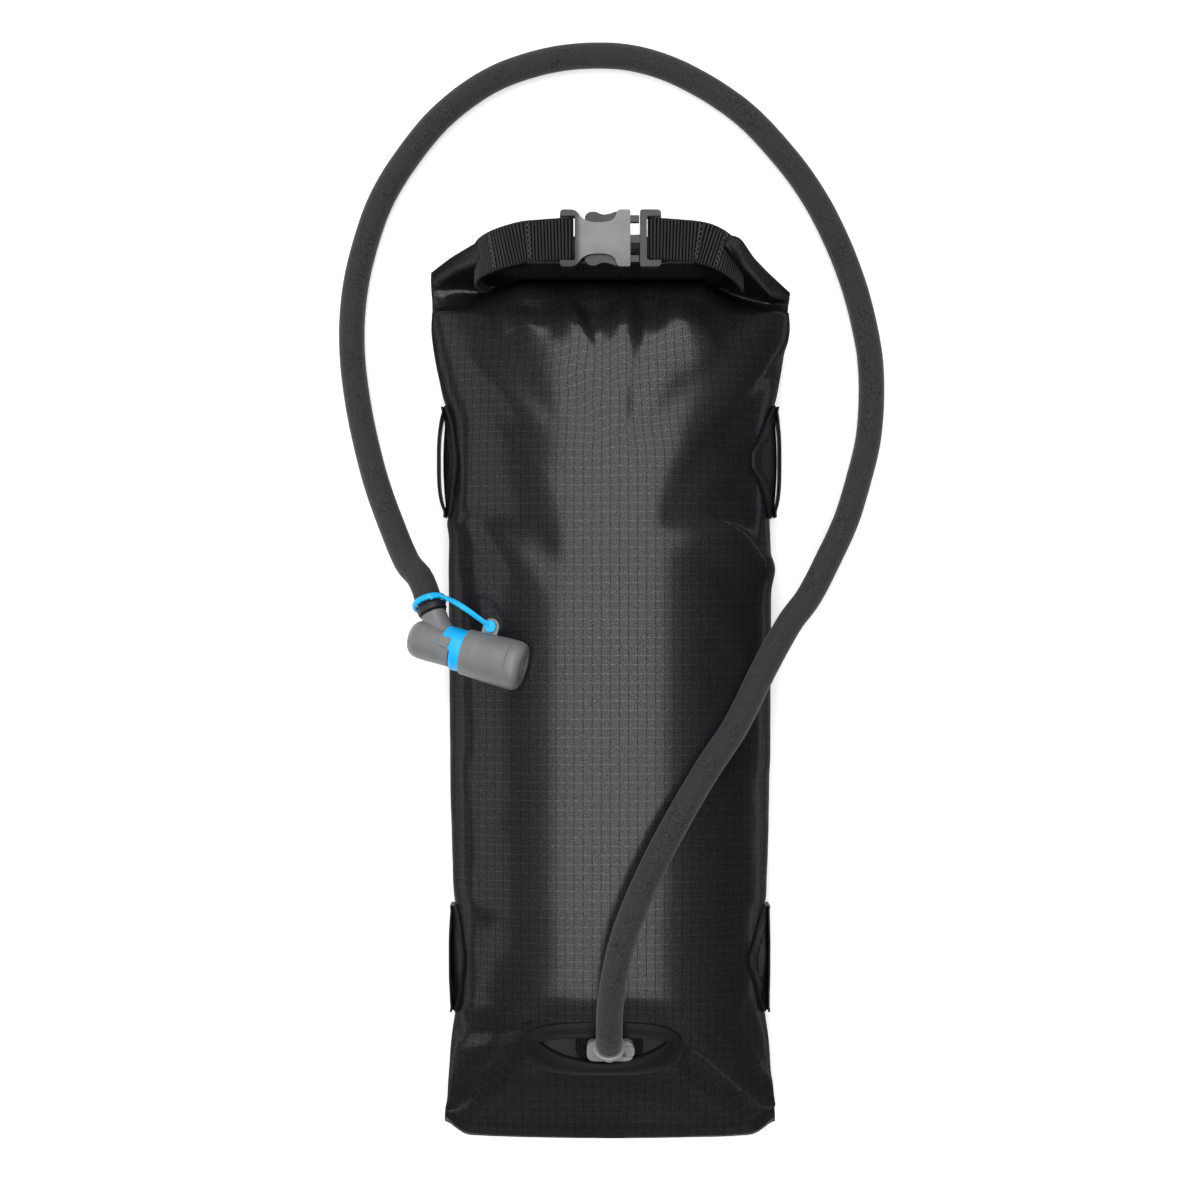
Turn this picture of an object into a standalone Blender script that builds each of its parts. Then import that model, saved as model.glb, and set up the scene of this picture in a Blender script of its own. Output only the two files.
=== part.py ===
"""Roll-top hydration bladder lying on its back: +Z is its thickness, +Y points to the roll-top.

All sizes below are in millimetres, and new_mesh turns them into metres. The origin is the bottom centre of
the bag's box. Every separate piece of the real object is one object here.
"""

import math

import bmesh
import bpy
from mathutils import Vector

MM = 0.001
GAP = 0.35

# The filled sleeve: y, half width, seam height, rise of the front, drop of the back.
BAG_STATIONS = [
    (-228.5, 82.5, 10.5, 1.2, 1.2),
    (-219, 82.5, 10.5, 1.2, 1.2),
    (-203, 80.5, 13, 11, 9),
    (-178, 78.5, 17, 21, 18.5),
    (-164, 76.5, 18.5, 25, 21),
    (-150, 74.6, 19.5, 28.5, 22.7),
    (-120, 74.6, 21, 32.5, 25),
    (-102, 76.5, 21.5, 34, 25.5),
    (-36, 79, 22, 36, 26.5),
    (60, 80.5, 22.5, 36, 27),
    (95, 79.5, 23.2, 35, 27.6),
    (128, 79.5, 23.8, 32.5, 28),
    (146, 83.5, 24, 29.5, 27.5),
    (168, 87, 25, 22, 23),
    (186, 88.5, 26, 11.5, 12),
    (198.5, 89, 26, 4.5, 4.5),
]
BAG_ROWS = [-228.5, -219, -211, -203, -194, -186, -178, -170, -162, -150, -135, -120, -102, -70, -20, 30,
            70, 95, 112, 128, 142, 155, 168, 177, 186, 192, 198.5]
FRONT_ROUNDNESS = 2.3
BACK_ROUNDNESS = 3.2
STEPS_ACROSS = 12
EAR_RISE = 6

FABRIC = 1.2
FOAM = 2.5
FILM = 1.0
LAYER_GAP = 0.8
FOAM_OUT = FABRIC + LAYER_GAP
FOAM_IN = FOAM_OUT + FOAM
FILM_OUT = FOAM_IN + LAYER_GAP
FOAM_ENDS = (-203, 168)
RESERVOIR_ENDS = (-194, 182)
WATER_ENDS = (-188, 160)

# Roll-top: a flattened roll bent forward into a C, closed at the front by the webbing and the buckle.
ROLL_STRAIGHT = 50
ROLL_BEND = 19.5
ROLL_BACK_Z = 26.5
ROLL_THICK = 10
ROLL_TALL = 21.4
ROLL_BACK_Y = 210
ROLL_TIP_Y = 213.5
ROLL_TIP_X = 43
ROLL_WALL = 2.6

# Side-release buckle for 20 mm webbing.
BUCKLE = Vector((0, 215, 75))
BUCKLE_HALF_LENGTH = 24
BUCKLE_HALF_TALL = 13.5
BUCKLE_THICK = 8.4
BAR_THICK = 3
BAR_EDGE = 20.95
WEBBING_WIDE = 20
WEBBING_THICK = 1.5
SLOT_HALF = 10.5
ARM_HINGE = (13.2, 9.6)
ARM_THICK = 4.4

# Port, low on the front.
PORT_X = -0.5
PORT_Y = -178
PATCH_CENTRE = (-3.5, -178)
PATCH_HALF = (39.5, 14.5)
SLIT_CENTRE = (-3.5, -178)
SLIT_HALF = (31, 8.2)
FLANGE_RADIUS = 16.5
SOCKET_HALF = (11.5, 5.8)
SOCKET_BORE = 4.8
BUTTON_X = 8.3
BUTTON_OUT = 12.4
HOSE_LEAN = 44
HOSE_BEND_AT = 7.2

# Hose: its centre line from the port to the valve, chosen by hand.
HOSE_RADIUS = 6.5
TUBE_RADIUS = 4.6
HOSE_SPACING = 24
HOSE_ROUTE = [
    (0, -150, 64), (4.5, -124, 72), (12, -102, 73.5), (22.7, -79, 71), (35, -57, 66.5), (48, -36, 61.5),
    (61, -17, 56.5), (75, 10, 49), (88, 32, 40.5), (98, 45, 36), (108, 63, 29), (118, 83, 21),
    (125, 103.5, 14.5), (130.5, 124, 9.5), (132.5, 144.5, 7.2), (132, 165, 6.8), (128.5, 185, 6.8),
    (123, 205, 6.8), (115, 225.5, 6.8), (104.5, 246, 6.8), (90.5, 266, 6.8), (68, 290, 6.8),
    (40.5, 308, 6.8), (15, 317.5, 6.8), (-10, 319.5, 6.8), (-35.5, 316, 6.8), (-62, 306, 6.8),
    (-86, 288, 6.8), (-104, 266, 6.8), (-116, 246, 6.8), (-123.5, 225.5, 6.8), (-128.5, 205, 6.8),
    (-130.7, 185, 6.8), (-130.3, 164.5, 7.5), (-127.5, 144, 10), (-123, 123.5, 15), (-117, 103, 22.5),
    (-109, 82.5, 32), (-99.8, 62.5, 42.5),
]

# Bite valve: its own axis runs from the elbow's closed end to the cover's end.
VALVE_START = Vector((-97, 25.9, 56.8))
VALVE_END = Vector((-42.1, 11.2, 68.4))
HOSE_END = Vector((-87.3, 41, 54.3))
NECK_JOIN = 18.5
NECK_RADIUS = 6.2
COVER_START = 28.2
COVER_LENGTH = 30.2
LUG_AT = 38
LUG_OUT = 16.4
LUG_RADIUS = 4.2

# Lash tabs: y of the centre, half length, standing height of the loop over the bag's side.
LASH_TABS = {"upper": (112, 28), "lower": (-135, 27)}
LASH_STAND = 4.7
LASH_STRIP = 1.3
LASH_WIDE = 16
PATCH_GAP = 0.95
PATCH_THICK = 0.9


def clear_scene():
    for old in list(bpy.data.objects):
        bpy.data.objects.remove(old, do_unlink=True)


def material(name, colour, roughness=0.6, metallic=0.0):
    made = bpy.data.materials.new(name)
    made.use_nodes = True
    shader = made.node_tree.nodes["Principled BSDF"]
    shader.inputs["Base Color"].default_value = (*colour, 1.0)
    shader.inputs["Roughness"].default_value = roughness
    shader.inputs["Metallic"].default_value = metallic
    return made


def new_mesh(name, points, faces, colour, roughness=0.6, smooth=True, home=None):
    """One object from points in millimetres. home, in millimetres, becomes the object's origin."""
    home = Vector(home or (0, 0, 0))
    mesh = bpy.data.meshes.new(name)
    mesh.from_pydata([(Vector(p) - home) * MM for p in points], [], faces)
    made = bpy.data.objects.new(name, mesh)
    made.location = home * MM
    bpy.context.scene.collection.objects.link(made)
    tidy = bmesh.new()
    tidy.from_mesh(mesh)
    bmesh.ops.recalc_face_normals(tidy, faces=tidy.faces)
    tidy.to_mesh(mesh)
    tidy.free()
    mesh.materials.append(material(name, colour, roughness))
    if smooth:
        mesh.shade_smooth()
        mesh.set_sharp_from_angle(angle=math.radians(40))
    return made


def frame_along(direction, side):
    """Axes (across, up, along) with along on the direction and across as near as it can be to side."""
    along = Vector(direction).normalized()
    across = (Vector(side) - along * Vector(side).dot(along)).normalized()
    return across, along.cross(across), along


def ring_faces(rings, size, closed=False):
    """Faces between successive rings of points; closed joins the last ring to the first."""
    faces = []
    for r in range(rings if closed else rings - 1):
        nxt = (r + 1) % rings
        for k in range(size):
            k2 = (k + 1) % size
            faces.append((r * size + k, r * size + k2, nxt * size + k2, nxt * size + k))
    return faces


def turned(profile, base, axis, side=(0, 0, 1), steps=20, solid=False):
    """Points and faces of (distance along, radius) turned about an axis. solid closes both ends."""
    across, up, along = frame_along(axis, side)
    points = []
    for s, r in profile:
        for k in range(steps):
            a = 2 * math.pi * k / steps
            points.append(Vector(base) + along * s + (across * math.cos(a) + up * math.sin(a)) * r)
    faces = ring_faces(len(profile), steps, closed=not solid)
    if solid:
        faces.append(tuple(range(steps)))
        faces.append(tuple(range((len(profile) - 1) * steps, len(profile) * steps)))
    return points, faces


def prism(outline, base, across, up, low, high):
    """Points and faces of a flat outline, given in (across, up), extruded along their normal."""
    across, up = Vector(across), Vector(up)
    out = across.cross(up)
    count = len(outline)
    points = [Vector(base) + across * x + up * y + out * h for h in (low, high) for x, y in outline]
    faces = ring_faces(2, count) + [tuple(range(count)), tuple(range(count, 2 * count))]
    return points, faces


def box(centre, half, across=(1, 0, 0), up=(0, 1, 0)):
    x, y, z = half
    return prism([(-x, -y), (x, -y), (x, y), (-x, y)], centre, across, up, -z, z)


def rounded_box(half, radius, corner_steps=3):
    """Outline of a rectangle with round corners."""
    outline = []
    for quarter, (sx, sy) in enumerate([(1, 1), (-1, 1), (-1, -1), (1, -1)]):
        for k in range(corner_steps + 1):
            a = math.pi / 2 * (quarter + k / corner_steps)
            outline.append((sx * (half[0] - radius) + radius * math.cos(a),
                            sy * (half[1] - radius) + radius * math.sin(a)))
    return outline


def change(target, operation, points, faces):
    """Cuts a hidden helper solid out of the target, or joins it to the target."""
    helper = new_mesh(f"{target.name}_{operation.lower()}", points, faces, (0.5, 0.5, 0.5), smooth=False)
    helper.hide_render = True
    helper.display_type = "WIRE"
    step = target.modifiers.new(operation.title(), "BOOLEAN")
    step.operation = operation
    step.object = helper
    step.solver = "EXACT"


def cut(target, shape):
    change(target, "DIFFERENCE", *shape)


def join(target, shape):
    change(target, "UNION", *shape)


def smooth_route(route, spacing):
    """Points at an even spacing on a Catmull-Rom curve through the route's points."""
    ends = [route[0] * 2 - route[1]] + route + [route[-1] * 2 - route[-2]]
    dense = []
    for a, b, c, d in zip(ends, ends[1:], ends[2:], ends[3:]):
        for k in range(24):
            t = k / 24
            dense.append(0.5 * (b * 2 + (c - a) * t + (a * 2 - b * 5 + c * 4 - d) * t * t
                                + (b * 3 - a - c * 3 + d) * t ** 3))
    dense.append(route[-1])
    runs = [0.0]
    for a, b in zip(dense, dense[1:]):
        runs.append(runs[-1] + (b - a).length)
    count = max(2, round(runs[-1] / spacing))
    points, j = [], 0
    for k in range(count + 1):
        want = runs[-1] * k / count
        while j < len(runs) - 2 and runs[j + 1] < want:
            j += 1
        points.append(dense[j].lerp(dense[j + 1], (want - runs[j]) / (runs[j + 1] - runs[j])))
    return points


def swept(path, section, side, closed_section=True):
    """Points and faces of a section, given in (across, up), carried along a path, with flat ends."""
    points = []
    for i, place in enumerate(path):
        along = path[min(i + 1, len(path) - 1)] - path[max(i - 1, 0)]
        across, up, _ = frame_along(along, side)
        points += [place + across * x + up * y for x, y in section]
    size = len(section)
    faces = ring_faces(len(path), size)
    if closed_section:
        faces += [tuple(range(size)), tuple(range(len(points) - size, len(points)))]
    return points, faces


def swept_pipe(path, outer, inner, side):
    """A swept wall: the outer and inner sections each carried along the path and joined at the ends."""
    out_points, out_faces = swept(path, outer, side, closed_section=False)
    in_points, in_faces = swept(path, inner, side, closed_section=False)
    size, shift = len(outer), len(out_points)
    faces = out_faces + [tuple(reversed([i + shift for i in f])) for f in in_faces]
    last = shift - size
    for k in range(size):
        k2 = (k + 1) % size
        faces.append((k2, k, shift + k, shift + k2))
        faces.append((last + k, last + k2, shift + last + k2, shift + last + k))
    return out_points + in_points, faces


def circle(radius, steps, squash=1.0):
    return [(radius * math.cos(2 * math.pi * k / steps), radius * squash * math.sin(2 * math.pi * k / steps))
            for k in range(steps)]


def bag_at(y):
    """Half width, seam height, front rise and back drop at y, on smooth curves that never overshoot."""
    rows = BAG_STATIONS
    y = min(max(y, rows[0][0]), rows[-1][0])
    i = max(k for k in range(len(rows) - 1) if rows[k][0] <= y)

    def slope(k, c):
        if k in (0, len(rows) - 1):
            return 0.0
        a = (rows[k][c] - rows[k - 1][c]) / (rows[k][0] - rows[k - 1][0])
        b = (rows[k + 1][c] - rows[k][c]) / (rows[k + 1][0] - rows[k][0])
        return 0.0 if a * b <= 0 else 2 * a * b / (a + b)

    span = rows[i + 1][0] - rows[i][0]
    t = (y - rows[i][0]) / span
    found = []
    for c in range(1, 5):
        a, b = rows[i][c], rows[i + 1][c]
        found.append((2 * t ** 3 - 3 * t * t + 1) * a + (t ** 3 - 2 * t * t + t) * span * slope(i, c)
                     + (3 * t * t - 2 * t ** 3) * b + (t ** 3 - t * t) * span * slope(i + 1, c))
    return found


def power(value, roundness):
    return math.copysign(abs(value) ** (2 / roundness), value) if abs(value) > 1e-9 else 0.0


def bag_point(y, angle, depth=0.0, narrow=0.0, seam_gap=0.0):
    """A point of the bag's section: angle 0 is the right seam, 90 the front, -90 the back.

    depth is how far inside the outer surface it lies; a negative depth is outside.
    """
    half, seam, rise, drop = bag_at(y)
    front = angle >= 0
    roundness = FRONT_ROUNDNESS if front else BACK_ROUNDNESS
    x = (half - depth - narrow) * power(math.cos(angle), roundness)
    high = power(abs(math.sin(angle)), roundness)
    if front:
        z = seam + seam_gap + max(rise - depth, 0) * high
    else:
        z = max(seam - seam_gap - max(drop - depth, 0) * high, depth)
    ear = max(0.0, (y - 186) / 12.5) * max(0.0, (abs(x) / half - 0.84) / 0.16)
    return Vector((x, y + EAR_RISE * ear, z))


def front_z(x, y):
    half, seam, rise, _ = bag_at(y)
    c = min(abs(x) / half, 0.999) ** (FRONT_ROUNDNESS / 2)
    return seam + rise * (1 - c * c) ** (1 / FRONT_ROUNDNESS)


def front_normal(x, y):
    step = 1.0
    fall_x = front_z(x - step, y) - front_z(x + step, y)
    fall_y = front_z(x, y - step) - front_z(x, y + step)
    return Vector((fall_x, fall_y, 2 * step)).normalized()


def half_shell(name, front, outer_depth, inner_depth, ends, colour, roughness, narrow=0.0):
    """One curved panel of the bag, from its side seam to the other, with its own thickness."""
    rows = [y for y in BAG_ROWS if ends[0] <= y <= ends[1]]
    sign = 1 if front else -1
    angles = [sign * math.pi * k / STEPS_ACROSS for k in range(STEPS_ACROSS + 1)]
    wide = len(angles)
    points = []
    for depth in (outer_depth, inner_depth):
        for y in rows:
            points += [bag_point(y, a, depth, narrow, GAP / 2) for a in angles]
    inner = len(rows) * wide
    faces = []
    for r in range(len(rows) - 1):
        for k in range(wide - 1):
            a = r * wide + k
            quad = (a, a + 1, a + 1 + wide, a + wide)
            faces += [quad, tuple(i + inner for i in reversed(quad))]
    edge = [k for k in range(wide)]
    edge += [r * wide + wide - 1 for r in range(1, len(rows))]
    edge += [(len(rows) - 1) * wide + k for k in range(wide - 2, -1, -1)]
    edge += [r * wide for r in range(len(rows) - 2, 0, -1)]
    for a, b in zip(edge, edge[1:] + edge[:1]):
        faces.append((b, a, a + inner, b + inner))
    return new_mesh(name, points, faces, colour, roughness)


def sack(depth, ends, neck_y, neck_half, flat):
    """Points and faces of a closed sack inside the bag, narrowed and flattened above neck_y."""
    rows = [ends[0]] + [y for y in BAG_ROWS if ends[0] < y < ends[1]] + [ends[1]]
    steps = 2 * STEPS_ACROSS
    points = []
    for y in rows:
        half, seam, _, _ = bag_at(y)
        t = min(max((y - neck_y) / 20, 0), 1)
        t = t * t * (3 - 2 * t)
        for k in range(steps):
            p = bag_point(y, math.pi * (2 * k / steps if k <= STEPS_ACROSS else 2 * k / steps - 2), depth, 3)
            p.x *= 1 + (neck_half / (half - depth - 3) - 1) * t
            least = flat * power(math.sin(2 * math.pi * k / steps), FRONT_ROUNDNESS)
            p.z = seam + max((p.z - seam) * (1 - t), least, key=abs)
            points.append(p)
    faces = ring_faces(len(rows), steps)
    faces += [tuple(range(steps)), tuple(range(len(points) - steps, len(points)))]
    return points, faces


def eye_outline(steps=28):
    """The hose slit: pointed at both ends, widest in the middle."""
    outline = []
    for k in range(steps):
        a = 2 * math.pi * k / steps
        x = math.cos(a)
        outline.append((SLIT_CENTRE[0] + SLIT_HALF[0] * x,
                        SLIT_CENTRE[1] + SLIT_HALF[1] * math.copysign(abs(math.sin(a)) ** 1.5, math.sin(a))))
    return outline


def build_sleeve():
    black = (0.012, 0.012, 0.014)
    ends = (BAG_ROWS[0], BAG_ROWS[-1])
    front = half_shell("sleeve_front", True, 0, FABRIC, ends, black, 0.45)
    half_shell("sleeve_back", False, 0, FABRIC, ends, black, 0.45)
    foam = (0.25, 0.25, 0.26)
    foam_front = half_shell("insulation_front", True, FOAM_OUT, FOAM_IN, FOAM_ENDS, foam, 0.9, 1)
    half_shell("insulation_back", False, FOAM_OUT, FOAM_IN, FOAM_ENDS, foam, 0.9, 1)
    cut(front, prism(eye_outline(), (0, 0, 0), (1, 0, 0), (0, 1, 0), 10, 70))
    opening = [(-16, FLANGE_RADIUS + 2), (10, FLANGE_RADIUS + 2)]
    cut(foam_front, turned(opening, port_point(), port_axes()[2], solid=True))


def port_axes():
    across, up, normal = frame_along(front_normal(PORT_X, PORT_Y), (1, 0, 0))
    return across, up, normal


def port_point():
    return Vector((PORT_X, PORT_Y, front_z(PORT_X, PORT_Y)))


def patch_outline(steps):
    """Outer edge of the port patch: a rounded oblong."""
    outline = []
    for k in range(steps):
        a = 2 * math.pi * k / steps
        outline.append((PATCH_CENTRE[0] + PATCH_HALF[0] * power(math.cos(a), 3.2),
                        PATCH_CENTRE[1] + PATCH_HALF[1] * power(math.sin(a), 2.6)))
    return outline


def build_port_patch():
    steps, rows = 28, 3
    inner, outer = eye_outline(steps), patch_outline(steps)
    points = []
    for lift in (PATCH_GAP, PATCH_GAP + PATCH_THICK):
        for r in range(rows + 1):
            t = r / rows
            for (x1, y1), (x2, y2) in zip(inner, outer):
                x, y = x1 + (x2 - x1) * t, y1 + (y2 - y1) * t
                points.append(Vector((x, y, front_z(x, y))) + front_normal(x, y) * lift)
    below = ring_faces(rows + 1, steps)
    top = (rows + 1) * steps
    faces = below + [tuple(reversed([i + top for i in f])) for f in below]
    for k in range(steps):
        k2 = (k + 1) % steps
        faces.append((k2, k, k + top, k2 + top))
        a, b = rows * steps + k, rows * steps + k2
        faces.append((a, b, b + top, a + top))
    new_mesh("port_patch", points, faces, (0.03, 0.031, 0.033), 0.55)


def build_reservoir():
    outer = sack(FILM_OUT, RESERVOIR_ENDS, 146, 66, 1.0)
    inner = sack(FILM_OUT + FILM, WATER_ENDS, 150, 64, 0.15)
    faces = outer[1] + [tuple(i + len(outer[0]) for i in f) for f in inner[1]]
    reservoir = new_mesh("reservoir", outer[0] + inner[0], faces, (0.5, 0.52, 0.54), 0.3)
    turn_inward(reservoir.data, len(outer[1]))
    cut(reservoir, turned([(-14, 8.4), (4, 8.4)], port_point(), port_axes()[2], solid=True))
    black = (0.05, 0.05, 0.055)
    slide = new_mesh("reservoir_slide_bar", *box((0, 180, 26), (72, 6, 4)), black, 0.4, smooth=False)
    cut(slide, box((0, 178, 26), (69, 5.5, 1.7)))
    bar_edge(slide, 1.2)


def turn_inward(mesh, first):
    """Turns the faces of the hollow, from index first on, to point into it."""
    tidy = bmesh.new()
    tidy.from_mesh(mesh)
    tidy.faces.ensure_lookup_table()
    bmesh.ops.reverse_faces(tidy, faces=tidy.faces[first:])
    tidy.to_mesh(mesh)
    tidy.free()


def bar_edge(target, width):
    edge = target.modifiers.new("Edge", "BEVEL")
    edge.width = width * MM
    edge.segments = 2
    edge.limit_method = "ANGLE"


def build_port():
    across, up, normal = port_axes()
    place = port_point()
    rubber = (0.035, 0.036, 0.038)
    flange = [(-4, SOCKET_BORE - 1.6), (-7.5, SOCKET_BORE - 1.6), (-7.5, 7.6), (-3.9, 7.6),
              (-3.9, FLANGE_RADIUS), (-2.3, FLANGE_RADIUS), (-2.3, SOCKET_BORE - 1.6)]
    new_mesh("port_flange", *turned(flange, place, normal, (1, 0, 0), 24), rubber, 0.5)

    grey = (0.42, 0.43, 0.44)
    outline = [(x + 0.5, y) for x, y in rounded_box(SOCKET_HALF, 4.5)]
    socket = new_mesh("port_socket", *prism(outline, place, across, up, -1.9, 1.6), grey, 0.4)
    cut(socket, turned([(-5, SOCKET_BORE), (5, SOCKET_BORE)], place, normal, (1, 0, 0), solid=True))
    cut(socket, box(place + across * 12 + normal * 0.5, (5.6, 3.4, 1.5), across, up))
    mid = (BUTTON_X + BUTTON_OUT) / 2
    half = (BUTTON_OUT - BUTTON_X) / 2
    button = new_mesh("release_button", *box(place + across * mid + normal * 0.5, (half, 3, 1.1), across, up),
                      grey, 0.35, smooth=False)
    bar_edge(button, 0.4)
    coil = []
    for k in range(3 * 8 + 1):
        a = 2 * math.pi * k / 8
        coil.append(place + normal * 0.5 + across * (6.85 + 1.15 * k / 24)
                    + (up * math.cos(a) + normal * math.sin(a)) * 0.8)
    new_mesh("button_spring", *swept(coil, circle(0.16, 5), across), (0.6, 0.6, 0.62), 0.3)


def hose_frame():
    """Where the hose leaves the plug, and its direction there."""
    lean = math.radians(HOSE_LEAN)
    direction = Vector((0, math.cos(lean), math.sin(lean)))
    bend = port_point() + port_axes()[2] * HOSE_BEND_AT
    return bend, direction


def hose_path():
    """The hose's centre line, straight for a few millimetres out of the plug and into the valve."""
    bend, direction = hose_frame()
    start = bend + direction * 6.8
    neck = (HOSE_END - neck_join()).normalized()
    finish = HOSE_END + neck * 0.4
    route = [start, start + direction * 8] + [Vector(p) for p in HOSE_ROUTE] + [finish + neck * 14, finish]
    between = smooth_route(route, HOSE_SPACING)[1:-1]
    return [start, start + direction * 5] + between + [finish + neck * 7, finish]


def valve_axis():
    return (VALVE_END - VALVE_START).normalized()


def neck_join():
    return VALVE_START + valve_axis() * NECK_JOIN


def build_hose():
    normal = port_axes()[2]
    place = port_point()
    bend, direction = hose_frame()
    grey = (0.42, 0.43, 0.44)
    stem = [(-1.6, 2.6), (-1.6, 3.9), (0.2, 3.9), (0.2, 3.1), (1.2, 3.1), (1.2, 4.3), (7, 4.3), (9.5, 3.2)]
    plug = new_mesh("quick_connect_plug", *turned(stem, place, normal, (1, 0, 0), solid=True), grey, 0.4)
    barrel = [(-1.8, 4.3), (3.8, 5.2), (3.8, 8.1), (6.0, 8.1), (6.0, 3.4), (6.4, 3.4)]
    join(plug, turned(barrel, bend, direction, (1, 0, 0), solid=True))
    cut(plug, turned([(-3, 2.1), (7, 2.1)], place, normal, steps=10, solid=True))
    cut(plug, turned([(0, 2.1), (9, 2.1)], bend, direction, steps=10, solid=True))
    ring = [(0.7 + 0.35 * math.cos(a), 3.75 + 0.35 * math.sin(a)) for a in
            [2 * math.pi * k / 6 for k in range(6)]]
    new_mesh("plug_o_ring", *turned(ring, place, normal, (1, 0, 0)), (0.02, 0.02, 0.02), 0.5)

    path = hose_path()
    wall_in = circle(TUBE_RADIUS + 0.65, 10)
    new_mesh("tube_sleeve", *swept_pipe(path, circle(HOSE_RADIUS, 10), wall_in, (0.3, 0.2, 1)),
             (0.03, 0.028, 0.027), 0.9)
    line = bpy.data.curves.new("drink_tube", "CURVE")
    line.dimensions = "3D"
    line.bevel_depth = TUBE_RADIUS * MM
    line.bevel_resolution = 2
    line.use_fill_caps = True
    spline = line.splines.new("POLY")
    spline.points.add(len(path) - 1)
    for point, place in zip(spline.points, path):
        point.co = (*(place * MM), 1.0)
    tube = bpy.data.objects.new("drink_tube", line)
    line.materials.append(material("drink_tube", (0.3, 0.5, 0.6), 0.25))
    bpy.context.scene.collection.objects.link(tube)


def build_valve():
    axis, join_at = valve_axis(), neck_join()
    neck = (HOSE_END - join_at).normalized()
    grey = (0.17, 0.17, 0.17)
    body = [(0, 2.5), (0.6, 5.2), (2.4, 7.8), (5, 9.1), (8, 9.4), (21, 9.3), (21, 6), (27.4, 6)]
    elbow = new_mesh("valve_elbow", *turned(body, VALVE_START, axis, solid=True), grey, 0.45)
    reach = (HOSE_END - join_at).length
    join(elbow, turned([(0, NECK_RADIUS + 0.8), (reach - 4.3, NECK_RADIUS)], join_at, neck, solid=True))
    cut(elbow, turned([(15, 3), (30, 3)], VALVE_START, axis, solid=True))
    cut(elbow, turned([(-1, 2.6), (reach + 4, 2.6)], join_at, neck, solid=True))
    collar = [(-3.9, 3.5), (-3.9, 7.2), (-0.3, 7.2), (-0.3, 3.5)]
    new_mesh("tube_collar", *turned(collar, HOSE_END, neck), (0.015, 0.015, 0.016), 0.5)

    seal = [(24 + 0.5 * math.cos(a), 6.75 + 0.5 * math.sin(a)) for a in
            [2 * math.pi * k / 6 for k in range(6)]]
    new_mesh("valve_o_ring", *turned(seal, VALVE_START, axis), (0.02, 0.02, 0.02), 0.5)
    blue = (0.0, 0.32, 0.78)
    twist = [(21.4, 7.7), (21.4, 10.2), (28.6, 10), (28.6, 6.6), (37, 6.6), (37, 3.4), (27.8, 3.4)]
    twist.append((27.8, 7.7))
    new_mesh("shutoff_ring", *turned(twist, VALVE_START, axis), blue, 0.4, home=VALVE_START)
    bite = [(29.2, 7.0), (29.2, 8.4), (46, 7.6), (51, 5.5), (51, 0.35), (48.6, 0.35), (48.6, 3.4),
            (37.6, 4.6), (37.6, 7.0)]
    new_mesh("bite_valve", *turned(bite, VALVE_START, axis), (0.25, 0.26, 0.27), 0.6, home=VALVE_START)

    end = COVER_START + COVER_LENGTH
    shell = [(COVER_START + 0.6, 9.4), (COVER_START + 0.6, 10.9), (end - 5, 12), (end - 1.5, 11.1), (end, 9),
             (end, 2), (end - 1, 1.4), (end - 1, 0.6), (end - 2.5, 0.6), (end - 2.5, 7.5), (end - 6, 9.9)]
    cover = new_mesh("valve_cover", *turned(shell, VALVE_START, axis), grey, 0.45, home=VALVE_START)
    lug = lug_point()
    outward, _ = lug_axes()
    top = outward.cross(axis)
    tab = [(-6, -LUG_RADIUS), (0, -LUG_RADIUS)]
    tab += [(LUG_RADIUS * math.sin(a), -LUG_RADIUS * math.cos(a)) for a in
            [math.pi * k / 8 for k in range(1, 8)]]
    tab += [(0, LUG_RADIUS), (-6, LUG_RADIUS)]
    join(cover, prism(tab, lug, outward, axis, -1.1, 1.1))
    cut(cover, turned([(-4, 1.9), (4, 1.9)], lug, top, solid=True))
    build_tether(lug, top, neck)


def lug_axes():
    """Outward direction of the cover's lug, level and square to the valve's axis."""
    axis = valve_axis()
    outward = Vector((0, 0, 1)).cross(axis).normalized()
    return outward, axis


def lug_point():
    outward, axis = lug_axes()
    return VALVE_START + axis * LUG_AT + outward * LUG_OUT


def build_tether(lug, top, neck):
    if top.z < 0:
        top = -top
    centre = HOSE_END + neck * 4
    hoop = [(1.2 * math.cos(a), 8.5 + 1.2 * math.sin(a)) for a in [2 * math.pi * k / 8 for k in range(8)]]
    tether = new_mesh("cover_tether", *turned(hoop, centre, neck), (0.0, 0.32, 0.78), 0.4)
    out = (lug - centre)
    out = (out - neck * out.dot(neck)).normalized()
    first = centre + out * 8.6
    pad = lug + top * 2.4
    arch = smooth_route([first, first.lerp(pad, 0.35) + top * 4, first.lerp(pad, 0.72) + top * 3.2, pad], 5)
    strap = [(-1.3, -0.7), (1.3, -0.7), (1.3, 0.7), (-1.3, 0.7)]
    join(tether, swept(arch, strap, valve_axis()))
    join(tether, turned([(1.6, 2.9), (3.4, 2.9)], lug, top, steps=12, solid=True))
    join(tether, turned([(-1.8, 1.3), (2, 1.3)], lug, top, steps=12, solid=True))


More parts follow.
